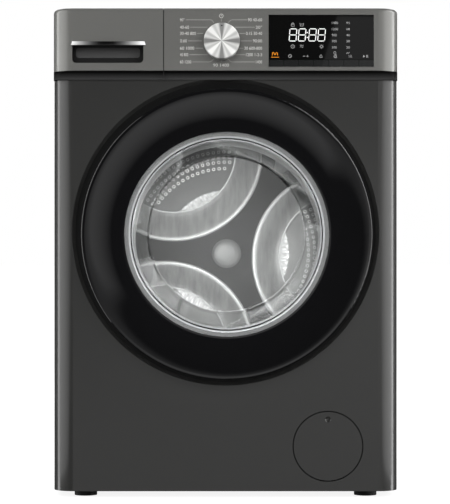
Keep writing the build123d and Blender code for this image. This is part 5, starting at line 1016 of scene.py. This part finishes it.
class WASHER_OT_display(bpy.types.Operator):
    """Finishes the display and the keys, and draws the lit figures and pictograms"""
    bl_idname = "washer.display"
    bl_label = "Display and Keys"

    def execute(self, context):
        cad("display_window", gloss_black("Black Acrylic Window", linear("#050505"), 0.08))
        key = gloss_black("Black Acrylic Keys", linear("#161717"), 0.2)
        for i in range(1, 8):
            cad(f"button_{i}", key)
        lit, dim, accent = bmesh.new(), bmesh.new(), bmesh.new()
        self.y = DISPLAY_Y - PRINT
        self.digits(lit)
        self.columns(dim)
        self.icons(dim)
        for side in (-1, 1):
            self.line(accent, [(274.9 + side * 0.2, 55.2), (274.9 + side * 1.3, 52.6),
                               (274.9 + side * 2.4, 52.8), (274.9 + side * 2.7, 55.6)], 0.6)
        self.line(accent, [(271.2, 57.3), (279.0, 57.3)], 0.6)
        piece("lit_figures", mesh_from("lit_figures", lit),
              [ink("Lit White Figures", colours().lit, 0.3)], "cabinet")
        piece("lit_signs", mesh_from("lit_signs", dim),
              [ink("Dim White Signs", shaded(colours().lit, 0.42), 0.1)], "cabinet")
        piece("lit_accent", mesh_from("lit_accent", accent),
              [ink("Lit Amber Symbol", colours().accent, 0.35)], "cabinet")
        return {"FINISHED"}

    def line(self, shape, pixels, width=0.45):
        stroke(shape, [spot(*p) for p in pixels], width * PIXEL, self.y)

    def ring(self, shape, px, py, radius, start=0, end=360, width=0.45):
        x, z = spot(px, py)
        stroke(shape, circle(x, z, radius * PIXEL, start, end), width * PIXEL, self.y)

    def digits(self, shape):
        """Four eights of seven bars with a colon between the pairs."""
        top, bottom, wide = 29.0, 41.1, 6.9
        middle = (top + bottom) / 2
        for left in (289.5, 298.6, 309.0, 318.1):
            right = left + wide
            lean = 0.5
            bars = (((left + lean, top), (right + lean, top)), ((left, middle), (right, middle)),
                    ((left - lean, bottom), (right - lean, bottom)))
            sides = []
            for x in (left, right):
                sides.append(((x + lean, top), (x, middle)))
                sides.append(((x, middle), (x - lean, bottom)))
            for a, b in bars:
                self.bar(shape, a, b)
            for a, b in sides:
                self.bar(shape, a, b)
        for y in (32.6, 37.6):
            x, z = spot(307.2, y)
            slab(shape, circle(x, z, 0.65 * PIXEL, steps=10)[:-1][::-1], self.y)

    def bar(self, shape, a, b):
        """One bar of a figure, with pointed ends."""
        start, end = Vector(spot(*a)), Vector(spot(*b))
        along = (end - start).normalized()
        side = Vector((-along.y, along.x)) * 0.42 * PIXEL
        gap = along * 0.35 * PIXEL
        point = along * 0.42 * PIXEL
        a, b = start + gap, end - gap
        slab(shape, [tuple(p) for p in (a, a + point - side, b - point - side, b,
                                        b - point + side, a + point + side)], self.y)

    def columns(self, shape):
        """Two columns of plain numbers, with a ring and a wave under them."""
        rows = (23.0, 29.2, 35.2, 41.3, 47.5)
        tall = 2.3 * PIXEL
        for row, speed, heat in zip(rows, ("1400", "1200", "900", "700", "500"),
                                    ("95", "60", "40", "30", "20")):
            wide = 6.2 if len(speed) == 4 else 4.8
            z = spot(0, row)[1]
            letters(shape, speed, spot(331.8, row)[0], spot(331.8 + wide, row)[0], z, tall, self.y)
            letters(shape, heat, spot(346.2, row)[0], spot(349.8, row)[0], z, tall, self.y)
        self.ring(shape, 334.8, 53.0, 1.2)
        self.line(shape, [(346.4, 54.0), (347.2, 52.4), (348.2, 53.6), (349.4, 52.2)])

    def icons(self, shape):
        """Pictograms in thin lines round the figures and over the keys."""
        # A key lock, a basin, a clock, a wave and a sun over and under the figures
        self.line(shape, [(291.3, 24.4), (294.3, 24.4), (294.3, 26.3), (291.3, 26.3), (291.3, 24.4)])
        self.ring(shape, 292.8, 24.2, 1.1, 0, 180)
        self.line(shape, [(299.8, 23.2), (300.4, 26.2), (303.0, 26.2), (303.6, 23.2)])
        self.line(shape, [(299.9, 24.0), (301.0, 24.5), (302.2, 23.9), (303.4, 24.3)], 0.35)
        self.ring(shape, 292.7, 46.6, 1.7)
        self.line(shape, [(292.7, 45.5), (292.7, 46.7), (293.7, 47.2)], 0.35)
        for shift in (-0.9, 0.6):
            self.line(shape, [(300.0, 46.6 + shift), (301.0, 46.0 + shift), (302.2, 46.9 + shift),
                              (303.4, 46.2 + shift)])
        self.ring(shape, 321.5, 46.6, 1.0)
        for k in range(8):
            a = math.radians(45 * k)
            self.line(shape, [(321.5 + 1.5 * math.cos(a), 46.6 + 1.5 * math.sin(a)),
                              (321.5 + 2.2 * math.cos(a), 46.6 + 2.2 * math.sin(a))], 0.35)
        # Over the keys: a clock, a plus and minus, a drop, a coil, a heat mark, and start and pause
        self.ring(shape, 290.0, 56.2, 1.6)
        self.line(shape, [(290.0, 55.2), (290.0, 56.3), (290.9, 56.8)], 0.35)
        self.line(shape, [(303.0, 56.3), (305.2, 56.3)])
        self.line(shape, [(306.4, 56.3), (308.6, 56.3)])
        self.line(shape, [(307.5, 55.2), (307.5, 57.4)])
        self.line(shape, [(319.6, 57.6), (320.4, 55.0), (321.4, 55.0), (322.2, 57.6), (319.6, 57.6)])
        self.ring(shape, 335.5, 56.4, 1.6, 40, 330)
        self.ring(shape, 335.5, 56.4, 0.8, 200, 500)
        for x in (348.8, 350.1, 351.4):
            self.line(shape, [(x, 57.7), (x + 0.4, 56.8), (x - 0.2, 55.9), (x + 0.3, 55.0)], 0.35)
        corner = [spot(363.2, 55.0), spot(363.2, 57.8), spot(365.2, 56.4)]
        slab(shape, corner, self.y)
        self.line(shape, [(366.5, 55.0), (366.5, 57.8)], 0.55)
        self.line(shape, [(367.7, 55.0), (367.7, 57.8)], 0.55)


class WASHER_OT_knob(bpy.types.Operator):
    """Finishes the turning knob and its pointer"""
    bl_idname = "washer.knob"
    bl_label = "Knob"

    def execute(self, context):
        cad("program_knob", spun_aluminium_painted_rays("Spun Aluminium Painted Sheen", colours().knob))
        shape = bmesh.new()
        slab(shape, circle(KNOB_X, KNOB_Z + POINTER_RISE, POINTER_R, steps=18)[:-1][::-1],
             POINTER_Y, 0.0004)
        piece("knob_pointer", mesh_from("knob_pointer", shape), [ink("Black Pointer", (0.004,) * 3)],
              "knob")
        return {"FINISHED"}


class WASHER_OT_door(bpy.types.Operator):
    """Finishes the door, its glass, hinge and gasket"""
    bl_idname = "washer.door"
    bl_label = "Door"

    def execute(self, context):
        cad("door_ring", gloss_black("Lacquered Black ABS", colours().ring))
        self.bowl()
        cad("door_inner_frame", moulded("Grey Door Frame", linear("#484848"), 0.5))
        steel = metal("Bearing Steel", linear("#A8A8A8"), 0.3)
        for name in ("door_hinge", "door_hook", "drum_bearings", "motor_pulley", "heater",
                     "damper_rods"):
            cad(name, steel)
        self.gasket(rubber("Grey Gasket Rubber", linear("#909092")))
        return {"FINISHED"}

    def gasket(self, grey):
        """The folded gasket: its lip sits square in the panel and its cuff leans with the tub."""
        outline = [(165, 5.2), (182.4, 5.2), (182.4, 8.5), (174.5, 8.5), (174.5, 23.5), (181.2, 26.2),
                   (182.6, 29), (181.2, 31.8), (173.6, 34.4), (172.3, 37), (173.6, 39.6), (183.6, 43),
                   (185.2, 46.5), (185.2, 63.7), (181.4, 63.7), (181.4, 51.4), (180.2, 46.6),
                   (171.4, 42), (169.2, 37), (171.4, 32), (177.6, 30), (178.6, 29), (177.6, 28),
                   (170, 25.4), (165, 22.5)]
        place = Matrix.Translation((DOOR_X, PANEL_Y, DOOR_Z))
        back = place.inverted()
        shape = bmesh.new()
        lathe(shape, [(r * MM, d * MM) for r, d in outline], place)
        for v in shape.verts:
            local = back @ v.co
            share = max(0.0, min(1.0, (local.y - 0.0235) / 0.023))
            v.co = v.co.lerp(DRUM_PLACE @ local, share)
        piece("folded_gasket", mesh_from("folded_gasket", shape, 60), [grey], "",
              ["door_gasket"], ("cabinet", "tub", (0, PANEL_Y + 0.0225, 0), (0, PANEL_Y + 0.0285, 0)))

    def bowl(self):
        """The glass bowl, with soft corners and a gently domed base."""
        front = rounded(((0.1797, -0.0138, 0), (0.1650, -0.0138, 0.006), (0.1385, 0.0855, 0.005),
                         (0.0, 0.0900, 0)), 8)
        back = rounded(((0.0, 0.0948, 0), (0.1405, 0.0905, 0.008), (0.1675, -0.0092, 0.003),
                        (0.1797, -0.0092, 0)), 8)
        shape = bmesh.new()
        lathe(shape, self.domed(front[:-1], front[-1]) + self.domed(back[1:], back[0], True),
              Matrix.Translation((DOOR_X, PANEL_Y, DOOR_Z)), 192)
        piece("glass_bowl", mesh_from("glass_bowl", shape, 40),
              [soda_glass("Pressed Soda Glass", linear("#FAFBFB"))], "door",
              ["door_glass"])

    def domed(self, outline, pole, first=False):
        """Adds a dome between an outline's end and its pole on the axis, level at the pole."""
        radius, depth = outline[0] if first else outline[-1]
        dome = [(radius * t, pole[1] + (depth - pole[1]) * t * t) for t in (0, 0.2, 0.4, 0.6, 0.8)]
        return dome + outline if first else outline + dome[::-1]


class WASHER_OT_drum(bpy.types.Operator):
    """Finishes the drum, presses its back and sets its holes"""
    bl_idname = "washer.drum"
    bl_label = "Drum"

    def execute(self, context):
        colour = colours().steel
        wall = metal("Stainless Drum Steel", colour, 0.32, (1, 1, 8), 6.0, 0.3, 0.6)
        for name in ("drum_wrapper", "drum_front_ring"):
            cad(name, wall)
        cad("drum_lifters", moulded("Grey Lifter Plastic", linear("#9A9A9A"), 0.35))
        alloy = metal("Cast Aluminium", linear("#9C9C9E"), 0.45)
        for name in ("drum_spider", "drum_pulley"):
            cad(name, alloy)
        # Lit and shaded copies of the drum steel paint the plate's light: painted shade on the flat
        # star, painted highlight on the ridges and lens, lighter on the slopes and darker on the lobe
        # tops and hub cap
        star_painted_shade = metal("Pressed Steel Star Painted Shade", shaded(colour, 0.10), 0.4, (8, 1, 1), 6.0, 0.3, 0.6)
        bright = metal("Pressed Steel Painted Highlight", shaded(colour, 1.6), 0.2, (8, 1, 1), 6.0, 0.0, 0.5)
        slope_painted_light = metal("Brushed Pressed Steel Painted Light", shaded(colour, 0.74), 0.34, (5, 1, 1), 60.0, 0.3, 0.6,
                      0.5)
        raised = metal("Grained Pressed Steel Painted Shade", shaded(colour, 0.48), 0.4, (8, 1, 1), 6.0, 0.3, 0.6)
        mesh = self.plate()
        for material in (star_painted_shade, slope_painted_light, bright, raised):
            mesh.materials.append(material)
        mesh = thickened(mesh, 0.0012)
        smooth(mesh, 50)
        mesh.transform(DRUM_PLACE)
        piece("drum_plate", mesh, (), "drum", ["drum_back_plate"])
        # Painted highlight on the hole rims, the steel made lighter; each hole's black disc is painted
        # shadow
        rim = metal("Rolled Hole Rims Painted Highlight", shaded(colour, 1.6), 0.4, bare=0.1)
        shadow = ink("Hole Shadow", (0.012,) * 3)
        tree = hole_tree()
        for name, points, facing, outwards in (
                ("wall_holes", self.wall_points(), (0, 0, 0), (1, 0, 1)),
                ("plate_holes", self.plate_points(), (0, 1, 0), (0, 0, 0))):
            mesh = grown(name, tree, {"Hole Radius": sizes().hole, "Facing": facing,
                                      "Outwards": outwards, "Rim": rim, "Dark": shadow}, points)
            mesh.transform(DRUM_PLACE)
            piece(name, mesh, (), "drum")
        return {"FINISHED"}

    def wall_points(self):
        """Staggered rows of places on the inside of the drum wall."""
        made = []
        for row in range(sizes().hole_rows):
            v = 0.106 + 0.244 * row / (sizes().hole_rows - 1)
            for column in range(sizes().hole_columns):
                a = 2 * math.pi * (column + 0.5 * (row % 2)) / sizes().hole_columns
                made.append((WALL_R * math.cos(a), v, WALL_R * math.sin(a)))
        return made

    def plate_points(self):
        """Arcs of places on the tops of the lobes, about the drum's axis."""
        made = []
        for middle in LOBE_ANGLES:
            for row in range(6):
                radius = 0.161 + 0.0122 * row
                for i in range(-14, 15):
                    a = middle + (i + 0.5 * (row % 2)) * 0.0105 / radius
                    u, w = radius * math.cos(a), radius * math.sin(a)
                    from_lobe = math.hypot(u - LOBE_CENTRE * math.cos(middle),
                                           w - LOBE_CENTRE * math.sin(middle))
                    if from_lobe < LOBE_TOP - 0.008:
                        made.append((u, PLATE_V - LOBE_RISE, w))
        return made

    def plate(self):
        """A flat star between three raised lobes with ridged feet, fluted lenses and a hub cap."""
        shape = bmesh.new()
        ring = [2 * math.pi * i / 120 for i in range(121)]
        rows = [[Vector((r * math.cos(a), PLATE_V, r * math.sin(a))) for a in ring]
                for r in (0.0, 0.06, 0.12, 0.18, PLATE_R)]
        sheet(shape, rows, lambda centre: 0)
        cap = ((0.0, 0.006), (0.014, 0.0058), (0.022, 0.005), (0.026, 0.0035), (HUB_R, 0.0),
               (HUB_R + 0.0008, -0.0006))
        rows = [[Vector((r * math.cos(a), PLATE_V - rise, r * math.sin(a))) for a in ring]
                for r, rise in cap]
        sheet(shape, rows, lambda centre: 3)
        steps = [0, 10, 20, 24, 30, 40, 52, 64, 76, 86, 94]
        steps += [100 + 1.6 * i for i in range(16)] + [128 + 4 * i for i in range(9)]
        steps += [162.5 + 1.25 * i for i in range(9)]
        for angle in LOBE_ANGLES:
            rows = [[self.lobe_place(angle, r * MM, -1 + 2 * i / 150) for i in range(151)]
                    for r in steps]
            sheet(shape, rows, lambda centre, angle=angle: self.lobe_painted_light(angle, centre))
        bmesh.ops.remove_doubles(shape, verts=shape.verts, dist=1e-6)
        bmesh.ops.dissolve_degenerate(shape, edges=shape.edges, dist=1e-7)
        return mesh_from("drum_plate", shape, 50)

    def lobe_place(self, angle, r, share):
        """A point of a lobe: r from its centre, and a share of the arc that the drum wall leaves."""
        reach = math.pi
        if r > LOBE_CENTRE * 0.01:
            cosine = (LOBE_CENTRE ** 2 + r * r - PLATE_R ** 2) / (2 * LOBE_CENTRE * r)
            reach = math.acos(max(-1.0, min(1.0, cosine)))
        a = angle + math.pi + share * reach
        u = LOBE_CENTRE * math.cos(angle) + r * math.cos(a)
        w = LOBE_CENTRE * math.sin(angle) + r * math.sin(a)
        t = max(0.0, min(1.0, (r - LOBE_TOP) / (LOBE_FOOT - LOBE_TOP)))
        rise = LOBE_RISE * (1 - t * t * (3 - 2 * t))
        rise += 0.0028 * math.exp(-((r - LOBE_FOOT + 0.001) / 0.0022) ** 2)
        rise += 0.0012 * math.exp(-((r - LOBE_TOP) / 0.0016) ** 2)
        inside = LENS_R - math.hypot(u, w)
        if inside > 0 and r < LOBE_TOP:
            depth = min(1.0, inside / 0.006) * min(1.0, (LOBE_TOP - r) / 0.004)
            flute = math.cos(2 * math.pi * r * share * reach / 0.0105)
            rise -= depth * (0.0022 + 0.0016 * flute)
        if r > LOBE_FOOT + 0.0025:
            rise -= 0.0006
        return Vector((u, PLATE_V - rise, w))

    def lobe_painted_light(self, angle, centre):
        """A face's painted light: painted highlight on ridges and lens, lighter brushed slopes, painted
        shade on the grained top.
        """
        r = math.hypot(centre.x - LOBE_CENTRE * math.cos(angle),
                       centre.z - LOBE_CENTRE * math.sin(angle))
        if abs(r - LOBE_FOOT + 0.001) < 0.0024 or abs(r - LOBE_TOP) < 0.0012:
            return 2
        if r > LOBE_TOP:
            return 1
        return 2 if math.hypot(centre.x, centre.z) < LENS_R - 0.001 else 3


class WASHER_OT_works(bpy.types.Operator):
    """Finishes the tub, the drive, the suspension and the water path"""
    bl_idname = "washer.works"
    bl_label = "Inner Works"

    def execute(self, context):
        tub = moulded("Grey Glass-Filled Polypropylene", linear("#63666A"), 0.55, 1.5, 0.05)
        for name in ("tub_front", "tub_rear", "drain_pump"):
            cad(name, tub)
        cad("counterweights", cast_concrete("Cast Concrete", linear("#A5A29A")))
        cad("motor_housing", metal("Die-Cast Motor Alloy", linear("#8A8A8C"), 0.45))
        cad("drive_belt", rubber("Ribbed Belt Rubber", linear("#181818")))
        hose = rubber("Black Hose Rubber", linear("#202022"))
        cad("inner_hoses", hose)
        spring = metal("Spring Steel", linear("#77777A"), 0.35)
        wire = sizes().wire
        radius = SPRING_R - wire / 2
        height = SPRING_TOP_Z - SPRING_FOOT_Z - wire
        mesh = grown("suspension_springs", coil_tree(), {
            "Radius": radius, "Wire": wire, "Turns": sizes().turns, "Height": height,
            "Skin": spring}, [(x, SPRING_Y, SPRING_FOOT_Z + wire / 2) for x in (-SPRING_X, SPRING_X)])
        piece("spring_coils", mesh, (), "", ["suspension_springs"],
              ("cabinet", "tub", (0, 0, SPRING_TOP_Z), (0, 0, SPRING_FOOT_Z)))
        shape = bmesh.new()
        folded_sleeve(shape, -0.180, -0.009, 0.662, 0.726, 0.0170, 0.0016, sizes().folds, 0.0016)
        piece("bellows_folds", mesh_from("bellows_folds", shape, 60), [hose], "",
              ["dispenser_bellows"], ("cabinet", "tub", (0, 0, 0.716), (0, 0, 0.672)))
        shape = bmesh.new()
        folded_sleeve(shape, 0.150, -0.184, 0.138, 0.217, 0.0180, 0.0016, sizes().folds + 1, 0.0016)
        piece("sump_sleeve", mesh_from("sump_sleeve", shape, 60), [hose], "",
              ["sump_hose"], ("cabinet", "tub", (0, 0, 0.150), (0, 0, 0.205)))
        return {"FINISHED"}


OPERATORS = (WASHER_OT_stage, WASHER_OT_cabinet, WASHER_OT_fascia, WASHER_OT_legend,
             WASHER_OT_display, WASHER_OT_knob, WASHER_OT_door, WASHER_OT_drum, WASHER_OT_works)


class WASHER_PT_panel(bpy.types.Panel):
    """Lists the washer's pieces and settings"""
    bl_label = "Washing Machine"
    bl_idname = "WASHER_PT_panel"
    bl_space_type = "VIEW_3D"
    bl_region_type = "UI"
    bl_category = "Washer"

    def draw(self, context):
        for operator in OPERATORS:
            self.layout.operator(operator.bl_idname)
        for group in (context.scene.washer_colours, context.scene.washer_sizes):
            for name in group.__annotations__:
                self.layout.prop(group, name)


CLASSES = (WasherColours, WasherSizes, *OPERATORS, WASHER_PT_panel)


def register():
    for cls in CLASSES:
        bpy.utils.register_class(cls)
    bpy.types.Scene.washer_colours = bpy.props.PointerProperty(type=WasherColours)
    bpy.types.Scene.washer_sizes = bpy.props.PointerProperty(type=WasherSizes)


def unregister():
    del bpy.types.Scene.washer_sizes
    del bpy.types.Scene.washer_colours
    for cls in reversed(CLASSES):
        bpy.utils.unregister_class(cls)


def main():
    register()
    for name in ("stage", "cabinet", "fascia", "legend", "display", "knob", "door", "drum", "works"):
        getattr(bpy.ops.washer, name)()


if __name__ == "__main__":
    main()
